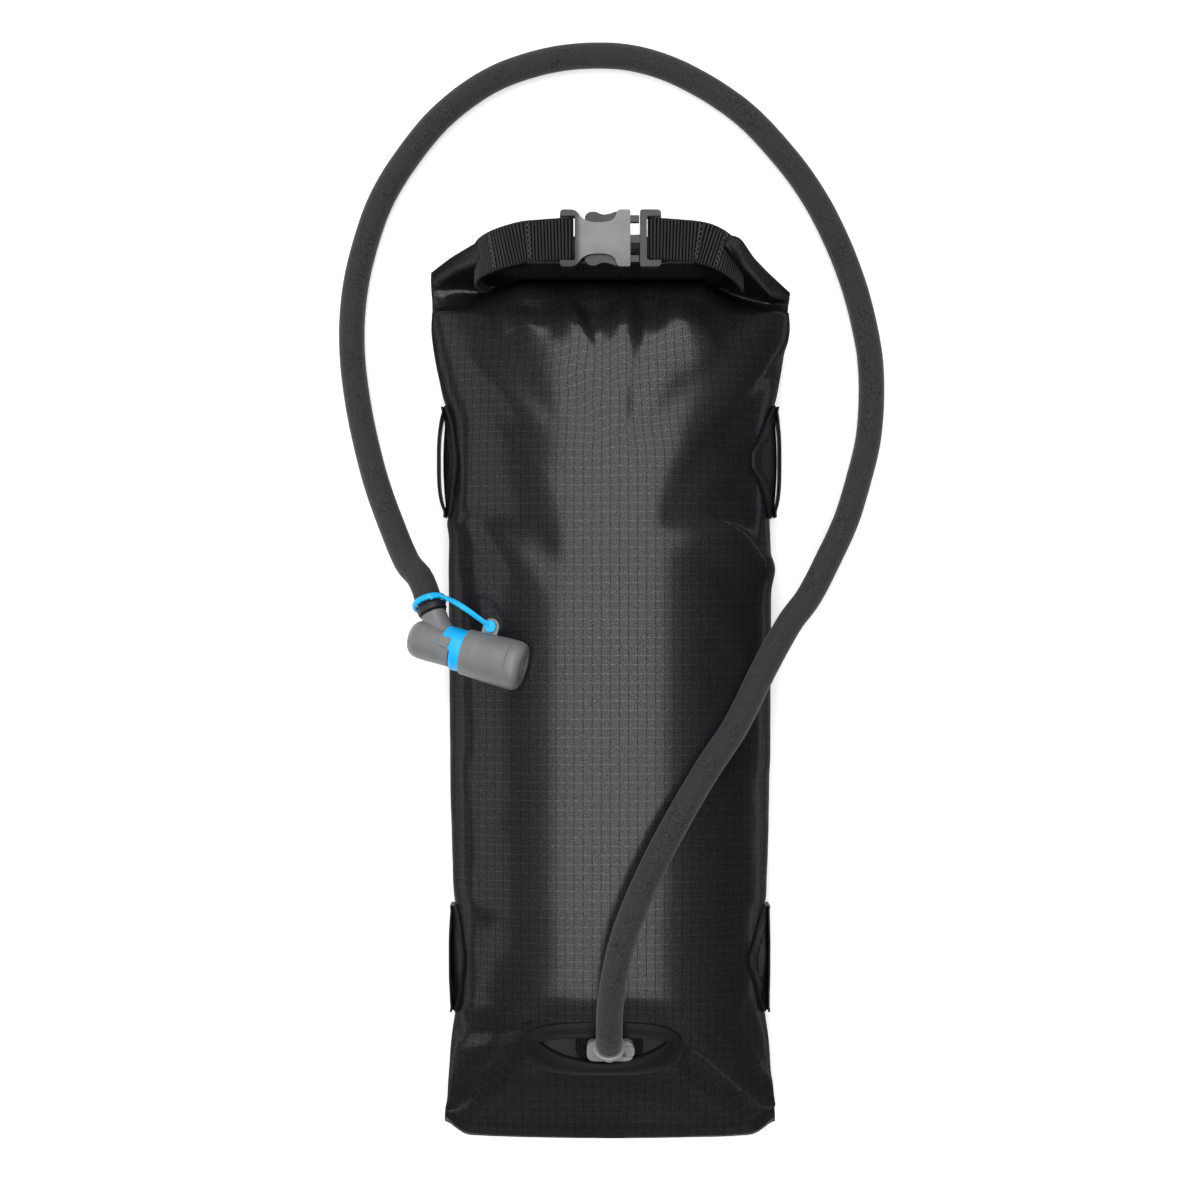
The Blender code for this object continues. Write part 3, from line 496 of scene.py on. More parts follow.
def moulded(name, colour, roughness, grain_size=0.6, depth=0.02, specular=0.5, vary=0.12, **more):
    """Moulded plastic or rubber: spark-eroded grain, faint flow marks and slightly paler sharp edges."""
    g = Graph(name, colour, roughness, specular, **more)
    where = g.coords()
    fine = g.noise(where, grain_size, 3.0)
    flow = g.noise(g.scaled(where, (1, 0.35, 1)), 14, 3.0)
    sharp_edge_pale = g.remap(g.add("ShaderNodeNewGeometry").outputs["Pointiness"], 0.51, 0.58)
    base = g.blend(g.remap(flow), shade(colour, 1 - vary), shade(colour, 1 + vary))
    # Sharp convex edges are a little paler in colour.
    g.set("Base Color", g.blend(g.times(sharp_edge_pale, 0.35), base, shade(colour, 1.35)))
    g.set("Roughness", g.plus(g.remap(fine, 0.3, 0.7, roughness - 0.05, roughness + 0.07),
                              g.remap(flow, 0.3, 0.7, -0.03, 0.04)))
    g.set("Normal", g.bump(fine, depth, 0.6))
    return g.made


def foam_skin(name, colour):
    """Neoprene-like foam: matt, with fine open cells and paler specks."""
    g = Graph(name, colour, 0.88, 0.3, Sheen_Weight=0.12, Sheen_Roughness=0.5)
    where = g.coords()
    cell = g.cells(where, 0.75)
    fine = g.noise(where, 1.3, 3.0, 0.75)
    base = g.blend(g.remap(fine, 0.38, 0.62), shade(colour, 0.5), shade(colour, 1.5))
    base = g.blend(g.remap(cell, 0.0, 0.22), shade(colour, 1.7), base)
    g.set("Base Color", g.blend(g.remap(g.noise(where, 16, 3.0)), base, shade(colour, 1.12)))
    g.set("Normal", g.bump(g.plus(fine, g.times(cell, 0.6)), 0.12, 0.8))
    return g.made


def strap_weave(name, colour):
    """Nylon webbing: fine twisted yarns across its ribs, with painted shade in the grooves between the ribs.
    """
    g = Graph(name, colour, 0.62, 0.3, Sheen_Weight=0.06, Sheen_Roughness=0.4)
    cloth = g.coords("UV")
    run = g.add("ShaderNodeSeparateXYZ", {0: cloth}).outputs[1]
    groove_shade = g.remap(g.maths("PINGPONG", g.maths("DIVIDE", run, RIB_PITCH * MM), 0.5), 0.24, 0.4)
    twist = g.add("ShaderNodeTexWave", {"Vector": g.scaled(cloth, (1, 1, 1), (0, 0, 0.5)), "Scale": 520.0,
                                        "Distortion": 1.5, "Detail": 1.0}).outputs[1]
    fuzz = g.noise(g.coords(), 0.5, 2.0)
    yarn = g.blend(g.remap(fuzz), shade(colour, 0.6), shade(colour, 1.6))
    # Painted shade: the grooves between the ribs are nearly black in colour, and less glossy.
    g.set("Base Color", g.blend(groove_shade, yarn, shade(colour, 0.08)))
    g.set("Specular IOR Level", g.remap(groove_shade, 0, 1, 0.34, 0.02))
    g.set("Roughness", g.remap(fuzz, 0.3, 0.7, 0.5, 0.7))
    g.set("Normal", g.bump(g.plus(twist, fuzz), 0.1, 0.7))
    return g.made


def clear_film(name, colour, roughness, transmission):
    """Soft clear or milky plastic film or tube."""
    g = Graph(name, colour, roughness, 0.5, Transmission_Weight=transmission)
    waves = g.noise(g.coords(), 7, 3.0)
    g.set("Base Color", g.blend(g.remap(waves), shade(colour, 0.9), shade(colour, 1.06)))
    g.set("Roughness", g.remap(waves, 0.3, 0.7, roughness - 0.05, roughness + 0.08))
    g.set("Normal", g.bump(waves, 0.25, 0.6))
    return g.made


def buckle_plastic():
    """Smooth buckle plastic, duller at its left end, with painted shade along its lower edge, where its gloss
    is turned down.
    """
    g = Graph("buckle_black", (0.018, 0.0175, 0.018), 0.24, 0.85)
    where = g.coords()
    x, y, _ = g.add("ShaderNodeSeparateXYZ", {0: where}).outputs
    face = g.remap(x, -0.0175, -0.0125)
    # Painted shade: the gloss fades along the lower edge so that the buckle looks darker there.
    lower = g.remap(y, 0.2, 0.214, 0.72, 1.0)
    satin = g.remap(g.noise(where, 7, 3.0), 0.3, 0.7, 0.92, 1.05)
    g.set("Specular IOR Level", g.times(g.remap(face, 0, 1, 0.42, 1.0), lower, satin))
    g.set("Roughness", g.remap(face, 0, 1, 0.4, 0.24))
    g.set("Normal", g.bump(g.noise(where, 0.4, 3.0), 0.006, 0.6))
    return g.made


FABRIC = ripstop("coated_fabric", (0.0074, 0.007, 0.0086), 0.45, 0.15, 0.41)
# Painted shade: the roll wears a darker, less glossy copy of the coated fabric, standing in for the shadow
# under the webbing.
SHADED_ROLL_FABRIC = ripstop("coated_fabric_shaded", (0.004, 0.004, 0.0047), 0.5, 0.1, 0.1)
WELD_RUBBER = moulded("welded_rubber", (0.0062, 0.0064, 0.0074), 0.46, 0.5, 0.03, 0.145)
FILM = moulded("reservoir_film", (0.024, 0.0245, 0.027), 0.45, 2.0, 0.05, 0.2)
CLEAR_FILM = clear_film("clear_film", (0.62, 0.66, 0.68), 0.22, 0.6)
CONNECTOR = moulded("connector_grey", (0.235, 0.24, 0.245), 0.4, 0.5, 0.012)
SPRING = moulded("spring_steel", (0.6, 0.6, 0.62), 0.28, 0.8, 0.004, metallic=1.0)
SEAL = moulded("seal_rubber", (0.012, 0.012, 0.013), 0.5, 0.5, 0.02)
HOSE_FOAM = foam_skin("hose_foam", (0.0275, 0.025, 0.0256))
TUBE = clear_film("drink_tube", (0.35, 0.52, 0.6), 0.15, 0.8)
VALVE_GREY = moulded("valve_grey", (0.178, 0.18, 0.183), 0.42, 0.45, 0.014)
SILICONE = moulded("bite_silicone", (0.2, 0.21, 0.22), 0.55, 0.7, 0.02, Subsurface_Weight=0.15)
BLUE = moulded("accent_blue", (0.0, 0.44, 0.9), 0.38, 0.6, 0.008, vary=0.05)
WEBBING = strap_weave("webbing", (0.0145, 0.014, 0.0145))
THREAD = moulded("stitching", (0.03, 0.03, 0.031), 0.5, 0.3, 0.05)
BUCKLE_BLACK = buckle_plastic()
FRAME_BLACK = moulded("buckle_frame_black", (0.014, 0.0135, 0.014), 0.42, 0.35, 0.012, specular=0.5)
PLASTIC = moulded("inner_plastic", (0.035, 0.036, 0.04), 0.4, 0.5, 0.012)
FOAM_PAD = foam_skin("insulation_foam", (0.22, 0.22, 0.23))


# ---------------------------------------------------------------- staging

def make_camera():
    data = bpy.data.cameras.new("camera")
    data.sensor_width = SENSOR
    data.lens = SENSOR * (EYE[2] - SEEN_HEIGHT) / SEEN_WIDTH
    data.clip_start, data.clip_end = 0.05, 50
    camera = bpy.data.objects.new("camera", data)
    camera.location = Vector(EYE) * MM
    bpy.context.scene.collection.objects.link(camera)
    bpy.context.scene.camera = camera


def soft_light(name, place_at, aim, size, power):
    data = bpy.data.lights.new(name, "AREA")
    data.shape = "RECTANGLE"
    data.size, data.size_y = size
    data.energy = power
    lamp = bpy.data.objects.new(name, data)
    lamp.location = place_at
    lamp.rotation_euler = (Vector(aim) - Vector(place_at)).to_track_quat("-Z", "Y").to_euler()
    bpy.context.scene.collection.objects.link(lamp)


def make_studio():
    """A pale sweep under the bag, one long overhead softbox, a weaker one from the left and two fills."""
    soft_light("overhead", (-0.004, 0.36, 2.1), (-0.004, 0.36, 0), (1.16, 4.42), 66)
    soft_light("left_fill", (-1.9, 0.4, 1.3), (0, 0.4, 0), (3.0, 1.5), 17)
    soft_light("far_fill", (-0.004, 2.75, 1.75), (0, 0.3, 0), (1.6, 1.4), 14)
    soft_light("near_fill", (0, -2.6, 1.6), (0, 0, 0), (1.6, 1.2), 1.6)
    world = bpy.data.worlds.new("studio")
    world.use_nodes = True
    world.node_tree.nodes["Background"].inputs[0].default_value = (1.0, 1.0, 1.0, 1.0)
    world.node_tree.nodes["Background"].inputs[1].default_value = 0.05
    bpy.context.scene.world = world
    bpy.context.scene.view_settings.view_transform = "Standard"
    half = FLOOR_HALF
    floor = place("floor", [(-half, -half, 0), (half, -half, 0), (half, half, 0), (-half, half, 0)],
                  [(0, 1, 2, 3)])
    sweep = Graph("pale_sweep", (0.93, 0.93, 0.93), 0.9, 0.2)
    paper = sweep.noise(sweep.coords(), 3, 2.0)
    sweep.set("Base Color", sweep.blend(paper, (0.925, 0.925, 0.925), (0.94, 0.94, 0.94)))
    sweep.set("Emission Color", (1.0, 1.0, 1.0, 1.0))
    sweep.set("Emission Strength", 0.36)
    floor.data.materials.append(sweep.made)


# ---------------------------------------------------------------- the bag's surface

def bag_at(y):
    """Half width, seam height, front rise and back drop at y, on smooth curves that never overshoot."""
    rows = BAG_STATIONS
    y = min(max(y, rows[0][0]), rows[-1][0])
    i = max(k for k in range(len(rows) - 1) if rows[k][0] <= y)

    def slope(k, c):
        if k in (0, len(rows) - 1):
            return 0.0
        a = (rows[k][c] - rows[k - 1][c]) / (rows[k][0] - rows[k - 1][0])
        b = (rows[k + 1][c] - rows[k][c]) / (rows[k + 1][0] - rows[k][0])
        return 0.0 if a * b <= 0 else 2 * a * b / (a + b)

    span = rows[i + 1][0] - rows[i][0]
    t = (y - rows[i][0]) / span
    found = []
    for c in range(1, 5):
        a, b = rows[i][c], rows[i + 1][c]
        found.append((2 * t ** 3 - 3 * t * t + 1) * a + (t ** 3 - 2 * t * t + t) * span * slope(i, c)
                     + (3 * t * t - 2 * t ** 3) * b + (t ** 3 - t * t) * span * slope(i + 1, c))
    return found


def power(value, roundness):
    return math.copysign(abs(value) ** (2 / roundness), value) if abs(value) > 1e-9 else 0.0


def section_point(y, angle):
    """A point of the bag's plain section: angle 0 is the right seam, 90 degrees the front, -90 the back."""
    half, seam, rise, drop = bag_at(y)
    n = FRONT_ROUNDNESS if angle >= 0 else BACK_ROUNDNESS
    off_seam = power(abs(math.sin(angle)), n)
    z = seam + rise * off_seam if angle >= 0 else max(seam - drop * off_seam, LOWEST)
    return Vector((half * power(math.cos(angle), n), y, z))


# Creases of the front panel: from (x, y) to (x, y), width on their left and right side, height (down is
# minus).
CREASES = [
    (-66, 196, -34, 132, 11, 12, 3.6), (-74, 168, -42, 136, 5, 9, -3.4), (-42, 182, -22, 156, 6, 8, -3.0),
    (-31, 170, -12, 130, 8, 8, 2.4), (-22, 190, -5, 146, 3.4, 6.5, -6.5), (-9, 190, -1, 146, 5, 5, 2.4),
    (9, 192, 6, 138, 3.2, 5.5, -5.6), (20, 186, 12, 144, 6, 6, 2.6), (30, 190, 42, 163, 9, 7, -5.6),
    (40, 170, 54, 164, 7, 6, -2.4), (70, 184, 28, 136, 8, 10, 3.8), (78, 168, 36, 122, 8, 10, -4.6),
    (84, 160, 62, 126, 7, 7, 2.4), (-58, 150, -44, 112, 9, 9, 1.6), (46, 124, 40, 96, 8, 8, 1.4),
    (-66, 150, -52, 122, 8, 8, 1.2), (-58, 128, -34, 104, 5, 7, -1.4), (-79, 99, -42, 75, 13, 4.5, 4.6),
    (-77, 90, -46, 66, 5, 8, -5.5), (-40, 74, -30, 56, 6, 5, 1.6), (36, 82, 60, 84, 11, 4.5, 3.6),
    (58, 84, 74, 72, 12, 5, 1.6), (40, 75, 58, 75, 4.5, 6, -4.5), (56, 76, 73, 62, 5, 8, -5),
    (50, 56, 70, 48, 6, 6, 1.6), (-45, -177, -76, -212, 3.4, 4.2, 5.6), (-56, -174, -72, -196, 5, 5, -3.6),
    (-42, -190, -62, -212, 5, 6, -3.0), (-43, -170, -72, -173, 2.6, 4.5, 3.8),
    (-46, -163, -70, -156, 5, 4, -2.2), (37, -181, 78, -219, 3.6, 4.6, 5.6),
    (52, -178, 79, -206, 7, 6, -4.4), (32, -193, 60, -216, 5, 6, -3.0), (44, -164, 66, -150, 4, 6, -1.6),
    (70, -168, 78, -190, 3, 4, 1.4), (-10, -200, -14, -222, 6, 6, 0.7), (14, -200, 22, -222, 6, 6, 0.8),
    (-66, -100, -60, -70, 6, 6, -0.9), (62, 20, 72, -20, 6, 6, -1.2), (60, -60, 70, -100, 6, 6, -1.1),
    (-70, 30, -62, -10, 7, 6, -1.0), (-60, -118, -70, -140, 5, 5, 0.9), (58, -30, 50, 10, 7, 7, 0.9),
]


def crease_height(x, y):
    """The creases' height over the plain front, at arrays of x and y."""
    total = np.zeros_like(x)
    for x0, y0, x1, y1, left, right, height in CREASES:
        dx, dy = x1 - x0, y1 - y0
        run = math.hypot(dx, dy)
        along = ((x - x0) * dx + (y - y0) * dy) / run
        off = (dx * (y - y0) - dy * (x - x0)) / run
        past = np.maximum(np.maximum(-along, along - run), 0)
        width = np.where(off > 0, left, right)
        away = np.sqrt((off / width) ** 2 + (past / (0.28 * run + 3)) ** 2 + 0.02) - 0.141
        total += height * np.exp(-away ** 1.5)
    return total


def step_smooth(value, low, high):
    t = np.clip((value - low) / (high - low), 0, 1)
    return t * t * (3 - 2 * t)


def loose_cloth(x, y, seed):
    """Small irregular puckers, in millimetres, at arrays of x and y."""
    flat = [noise.noise(Vector((a / 26, b / 34, seed))) + 0.45 * noise.noise(Vector((a / 10, b / 13, seed)))
            for a, b in zip(x.ravel(), y.ravel())]
    return np.array(flat).reshape(x.shape)


def front_lift(x, y):
    """How far the real front panel stands over its plain section, at arrays of x and y."""
    near_port = step_smooth(np.hypot((x - PATCH_CENTRE[0]) / 46, (y - PATCH_CENTRE[1]) / 17), 0.75, 1.15)
    flank = step_smooth(np.abs(x), 34, 70)
    ends = np.maximum(step_smooth(y, 110, 175), step_smooth(-y, 140, 205))
    calm = 0.25 + 0.75 * np.maximum(flank, ends)
    tabs = 1.0
    for centre, half in LASH_TABS.values():
        beside = 1 - step_smooth(np.abs(y - centre), half * 0.85, half * 1.15)
        tabs = tabs * (1 - 0.85 * (step_smooth(np.abs(x), 62, 72) * beside))
    hem = step_smooth(y, -226, -212)
    folds = crease_height(x, y)
    room = 1.6 + 3.0 * step_smooth(y, -150, -110)
    folds = np.where(folds < 0, room * np.tanh(folds / room), folds)
    small = loose_cloth(x, y, 3.0) * 0.9
    return (folds + small * calm) * near_port * tabs * hem


CLOTH_OVER_FOAM = 0.9
FOAM_EASE = 0.3

# The shoulders' folds. The cloth runs over four lines between the front and the roll: a lobe, a pocket, an
# edge over the pocket and a ridge under the webbing. MIDDLE_RAILS has each line's (y, z) in the middle, and
# RAILS its rows of (share of the way to the corner, x, y, z) on each side. BACK_RAILS has the back panel's
# rows of (share of the way to the ridge, y, z in the middle).
FOLD_HALF = 45
MIDDLE_RAILS = {"lobe": (197.5, 41.5), "pocket": (203, 31), "edge": (200.3, 47), "ridge": (206.3, 61)}
RAILS = {
    -1: {
        "lobe": [(0.25, 56, 193.5, 37.5), (0.5, 67, 190.5, 33.5), (0.75, 78, 190.5, 30),
                 (1, 88.6, 192, 26)],
        "pocket": [(0.25, 56, 200, 28.5), (0.5, 66, 198, 27), (0.75, 77, 198.5, 27), (1, 89, 197, 26)],
        "edge": [(0.25, 54, 204, 50), (0.5, 63.5, 206.5, 59), (0.75, 77, 204.5, 43), (1, 89.2, 202, 27)],
        "ridge": [(0.25, 50, 217, 58), (0.42, 56.5, 218.6, 66), (0.6, 66, 216, 56), (0.8, 78.5, 212, 39),
                  (1, 89.2, 206.5, 26)],
    },
    1: {
        "lobe": [(0.25, 56, 192.5, 37.5), (0.5, 67, 189, 34), (0.75, 79, 187, 30.5), (1, 88.6, 188.5, 26)],
        "pocket": [(0.25, 56, 198.5, 29), (0.5, 66, 195.5, 28), (0.75, 79, 191.5, 28.5), (1, 89, 191, 26)],
        "edge": [(0.2, 50, 207, 52), (0.35, 56, 210, 71), (0.5, 63, 204.5, 66), (0.75, 78.5, 193, 42),
                 (1, 89.4, 193.5, 27)],
        "ridge": [(0.25, 49, 218.5, 60), (0.4, 54, 218.5, 71), (0.52, 62.5, 217.5, 65),
                  (0.65, 69.5, 209.5, 55), (0.8, 78, 204, 41), (1, 89.4, 196.8, 26)],
    },
}
BACK_RAILS = [(0.3, 196, 15), (0.6, 203, 20), (0.85, 205.5, 44)]


def rail_points(keys, shares):
    """Points of one rail at an array of shares, eased between its keys."""
    keys = np.array(keys, float)
    fine = np.linspace(0, 1, 201)
    rows = [np.interp(fine, keys[:, 0], keys[:, c]) for c in (1, 2, 3)]
    kernel = np.hanning(23)[1:-1]
    kernel /= kernel.sum()
    eased = []
    for row in rows:
        padded = np.concatenate([2 * row[0] - row[10:0:-1], row, 2 * row[-1] - row[-2:-12:-1]])
        eased.append(np.convolve(padded, kernel, "valid"))
    return np.stack([np.interp(shares, fine, row) for row in eased], axis=-1)


# Columns of points in half the bag's way round, and in each shoulder.
HALF_STEPS = 120
FOLD_STEPS = 44


def shell_half(front, y_rows):
    """Rows of points for one panel, from the hem to the roll, with FOLD_STEPS columns in each shoulder."""
    sign = 1 if front else -1
    column = np.arange(HALF_STEPS + 1)
    grid = np.stack([np.array([section_point(y, a) for a in sign * np.pi * column / HALF_STEPS])
                     for y in y_rows])
    x, y = grid[..., 0], grid[..., 1]
    lift = front_lift(x, y) if front else 0.5 * loose_cloth(x, y, 9.0) * step_smooth(np.abs(x), 30, 76)
    normal = np.cross(np.gradient(grid, axis=1), np.gradient(grid, axis=0)) * sign
    normal[..., 2] = np.maximum(normal[..., 2], 0) if front else np.minimum(normal[..., 2], 0)
    normal /= np.maximum(np.linalg.norm(normal, axis=-1, keepdims=True), 1e-9)
    from_seam = np.minimum(column, HALF_STEPS - column)
    grid = grid + normal * (lift * np.clip(from_seam / 6, 0, 1))[..., None]
    grid[..., 2] = np.maximum(grid[..., 2], LOWEST)

    share = np.clip(1 - from_seam / FOLD_STEPS, 0, 1)
    centre = share <= 0
    side = np.where(column < HALF_STEPS / 2, 1, -1)
    middle_x = grid[-1, :, 0]
    guides = []
    for key, middle in MIDDLE_RAILS.items():
        row = np.zeros((HALF_STEPS + 1, 3))
        for s in (-1, 1):
            at = side == s
            row[at] = rail_points([(0, FOLD_HALF, *middle), *RAILS[s][key]], share[at]) * (s, 1, 1)
        row[centre, 0] = middle_x[centre] * FOLD_HALF / np.abs(middle_x[FOLD_STEPS])
        row[centre, 1:] = middle
        guides.append(row)
    if not front:
        low, ridge = grid[-1].copy(), guides[-1]
        for i, (t, *middle) in enumerate(BACK_RAILS):
            row = low + (ridge - low) * t
            row[:, 2] = np.minimum(row[:, 2], low[:, 2] + (ridge[:, 2] - low[:, 2]) * t ** 2.2)
            row[centre, 1:] = middle
            guides[i] = row
    fence = [grid[-2], grid[-1], *guides, 2 * guides[-1] - guides[-2]]
    top = np.stack(catmull(fence, 7)[1:] + [guides[-1]])
    wave = loose_cloth(top[..., 0] * 1.3, top[..., 1] * 2 + top[..., 2], 5.0)
    top[..., 2] += wave * np.sin(np.linspace(0, np.pi, len(top)))[:, None] * 0.9
    return np.concatenate([grid, top])


def slit_edges(x):
    """Top and bottom y of the hose slit at x: nearly straight above, bowed below."""
    t = min(abs(x - SLIT_X) / SLIT_HALF, 1.0)
    top = SLIT_TIP + (SLIT_TOP - SLIT_TIP) * (1 - t ** 3)
    bottom = SLIT_TIP + (SLIT_BOTTOM - SLIT_TIP) * (1 - t * t) ** 0.8
    return top, bottom


def shape_hem(points):
    """Bows the bottom edge and clips its two corners."""
    x, y = np.abs(points[..., 0]), points[..., 1]
    near = 1 - step_smooth(y, -228, -206)
    points[..., 1] = y + near * (2.2 * (x / 82) ** 2 + 6.5 * step_smooth(x, 66, 84) ** 2)
    return points


def kept_over_foam(points):
    """The front panel's points, lifted smoothly wherever a fold would sink into the foam under it."""
    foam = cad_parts["insulation_front"]
    tree = BVHTree.FromPolygons([foam.matrix_world @ v.co / MM for v in foam.data.vertices],
                                [tuple(face.vertices) for face in foam.data.polygons])
    for spot in points.reshape(-1, 3):
        hit = tree.ray_cast(Vector((spot[0], spot[1], RAY_FROM)), DOWN)[0]
        if hit is not None and spot[2] - hit.z < 4:
            spare = (spot[2] - hit.z - CLOTH_OVER_FOAM) / FOAM_EASE
            spot[2] = hit.z + CLOTH_OVER_FOAM + FOAM_EASE * math.log1p(math.exp(max(spare, -30)))
    return points


def build_shell():
    """The sleeve's panels as one skin, open at the hose slit. Returns the front panel's rows of points."""
    y_rows = np.concatenate([[HEM_Y], np.linspace(-227.6, -200, 18), np.linspace(-197.8, 120, 146),
                             np.linspace(122, 186, 34)])
    halves = [shape_hem(shell_half(front, y_rows)) for front in (True, False)]
    halves[0] = kept_over_foam(halves[0])
    for half in halves:
        half[0, :, 2] = HEM_Z
        half[1, :, 2] = HEM_Z + (half[1, :, 2] - HEM_Z) * 0.6
    around = np.concatenate([halves[0], halves[1][:, -2::-1]], axis=1)
    rows, columns = around.shape[:2]
    widths = np.linalg.norm(np.diff(around, axis=1), axis=-1)
    u = np.concatenate([np.zeros((rows, 1)), np.cumsum(widths, axis=1)], axis=1)
    u -= u[:, HALF_STEPS // 2:HALF_STEPS // 2 + 1]
    runs = np.linalg.norm(np.diff(around, axis=0), axis=-1)
    v = np.concatenate([np.zeros((1, columns)), np.cumsum(runs, axis=0)], axis=0).mean(axis=1)
    faces, uvs = [], []
    middle = (around[:-1, :-1] + around[1:, 1:]) / 2
    for r in range(rows - 1):
        for c in range(columns - 1):
            x, y, _ = middle[r, c]
            if c < HALF_STEPS and abs(x - SLIT_X) < SLIT_HALF + 2:
                top, bottom = slit_edges(x)
                if bottom - 1.5 < y < top + 1.5:
                    continue
            a = r * columns + c
            faces.append((a, a + columns, a + columns + 1, a + 1))
            uvs += [(u[i, j], v[i]) for i, j in ((r, c), (r + 1, c), (r + 1, c + 1), (r, c + 1))]
    shell = place("bag_shell", around.reshape(-1, 3), faces, np.array(uvs) * MM, sharp=0)
    outward(shell, merge=0.02)
    thick = shell.modifiers.new("cloth", "SOLIDIFY")
    thick.thickness = 0.55 * MM
    thick.offset = -1
    finished(shell, "sleeve", FABRIC, "sleeve_front", "sleeve_back")
    return halves[0]


def surface_sampler(front_half):
    """A function (x, y) -> point and normal of the finished front panel, read from its own grid."""
    rows, columns = front_half.shape[:2]
    points = [Vector(p) for p in front_half.reshape(-1, 3)]
    faces = [(r * columns + c, r * columns + c + 1, (r + 1) * columns + c + 1, (r + 1) * columns + c)
             for r in range(rows - 1) for c in range(columns - 1)]
    tree = BVHTree.FromPolygons(points, faces)

    def sample(x, y):
        hit, normal, _, _ = tree.ray_cast(Vector((x, y, RAY_FROM)), DOWN)
        if hit is None:
            hit, normal, _, _ = tree.find_nearest(Vector((x, y, SEEN_HEIGHT)))
        return hit, normal if normal.z > 0 else -normal

    return sample


# ---------------------------------------------------------------- port

def port_axes():
    across = Vector((1, 0, 0))
    near = [section_point(PORT_Y + d, math.pi / 2).z for d in (-1, 1)]
    normal = Vector((0, near[0] - near[1], 2)).normalized()
    return across, normal.cross(across), normal


def port_point():
    return Vector((PORT_X, PORT_Y, section_point(PORT_Y, math.pi / 2).z))


def slit_outline(steps):
    """The slit's edge, from its right tip round over the top."""
    outline = []
    for a in angles(steps):
        x = SLIT_X + SLIT_HALF * math.cos(a)
        top, bottom = slit_edges(x)
        outline.append((x, top if math.sin(a) >= 0 else bottom))
    return outline


def build_patch(sample):
    """The welded rubber frame round the slit, with a rolled inner lip and a thin outer edge."""
    steps = 120
    inner = slit_outline(steps)
    outer = [(PATCH_CENTRE[0] + PATCH_HALF[0] * power(math.cos(a), 3.1),
              PATCH_CENTRE[1] + PATCH_HALF[1] * power(math.sin(a), 2.2 if math.sin(a) < 0 else 3.0))
             for a in angles(steps)]
    profile = [(0.0, -0.6), (0.0, 0.5), (0.02, 1.2), (0.07, 1.75), (0.14, 1.9), (0.22, 1.6), (0.3, 1.45),
               (0.6, 1.4), (0.82, 1.35), (0.86, 1.15), (0.9, 1.1), (0.96, 1.0), (0.99, 0.7), (1.0, 0.15)]
    points = []
    for t, lift in profile:
        for (x1, y1), (x2, y2) in zip(inner, outer):
            x, y = x1 + (x2 - x1) * t, y1 + (y2 - y1) * t
            hit, normal = sample(x, y)
            under_hose = math.exp(-((x - PORT_X) / 9) ** 4) * (1 if y > PORT_Y else 0)
            points.append(hit + normal * (lift * (1 - 0.75 * under_hose) + 0.05 * grain((x, y, 0), 6)))
    points += [p - Vector((0, 0, 0.5)) for p in points[-steps:] + points[:steps]]
    piece("port_patch_rubber", (points, ring_faces(len(profile) + 2, steps, closed=True)), "sleeve",
          WELD_RUBBER, "port_patch", sharp=50)


def build_port(sample):
    """The port behind the slit: its flange, the film round it, the socket and the release button."""
    across, up, normal = port_axes()
    centre = port_point()
    rim = 16.5
    flange = [(-3.9, 3.4), (-7.4, 3.4), (-7.4, 7.6), (-3.9, 7.6), (-3.9, rim - 0.4), (-3.5, rim), (-2.4, rim),
              (-1.7, rim - 0.4), (-1.6, rim - 1.5), (-2.2, rim - 2), (-2.3, 13.2), (-2.0, 12.8), (-2.0, 12.2),
              (-2.3, 11.8), (-2.3, 3.4)]
    piece("port_flange_rubber", turned(flange, centre, normal, across, 96, solid=False), "sleeve",
          WELD_RUBBER, "port_flange")

    steps = 96
    points = []
    for out_to_edge, lift in [(0, -1.5), (0.05, -1.3), (0.5, -1.1), (1.0, -1.6)]:
        for a in angles(steps):
            hole = (PORT_X + 16.9 * math.cos(a), PORT_Y + 16.9 * math.sin(a) * 0.92)
            edge = (SLIT_X + 36 * math.cos(a), -177.5 + 15.6 * math.sin(a))
            x, y = (hole[i] + (edge[i] - hole[i]) * out_to_edge for i in (0, 1))
            hit, out = sample(x, y)
            pucker = 0.15 * math.sin(a * 9) * out_to_edge + 0.12 * grain((x, y, 4), 5)
            points.append(hit + out * (lift + pucker))
    surround = piece("port_surround_film", (points, ring_faces(4, steps)), "sleeve", FILM)
    surround.modifiers.new("film", "SOLIDIFY").thickness = 0.4 * MM

    def block(outline, low, high):
        return prism(outline, centre, across, up, low, high)

    outline = [(x + 0.5, y) for x, y in plate(-11.5, -5.8, 11.5, 5.8, 4.5, 8)]
    socket = outward(place("port_socket_shell", *block(outline, -1.9, 1.7)))
    subtract(socket, turned([(-5, 4.8), (5, 4.8)], centre, normal, across, 48),
             block(plate(6.5, -3.35, 18, 3.35, 0.8, 4), -1.0, 2.4))
    finished(soften(socket, 0.45), "sleeve", CONNECTOR, "port_socket")

    thumb = rounded([(8.3, -3.0, 0.9), (12.5, -3.0, 2.2), (12.5, 3.0, 2.2), (8.3, 3.0, 0.9)], 5)
    button = outward(place("port_button", *block(thumb, -0.6, 1.7)))
    ribs = [9.4 + k * 0.95 for k in range(3)]
    subtract(button, *(block(plate(x, -2, x + 0.35, 2), 1.45, 2.5) for x in ribs))
    finished(soften(button, 0.22, 2), "release_button", CONNECTOR, "release_button")


# ---------------------------------------------------------------- hose

def hose_start():
    lean = math.radians(HOSE_LEAN)
    direction = Vector((0, math.cos(lean), math.sin(lean)))
    return port_point() + port_axes()[2] * HOSE_BEND_AT + Vector((0, 2.4, 0)), direction


def valve_axis():
    return (VALVE_END - VALVE_START).normalized()


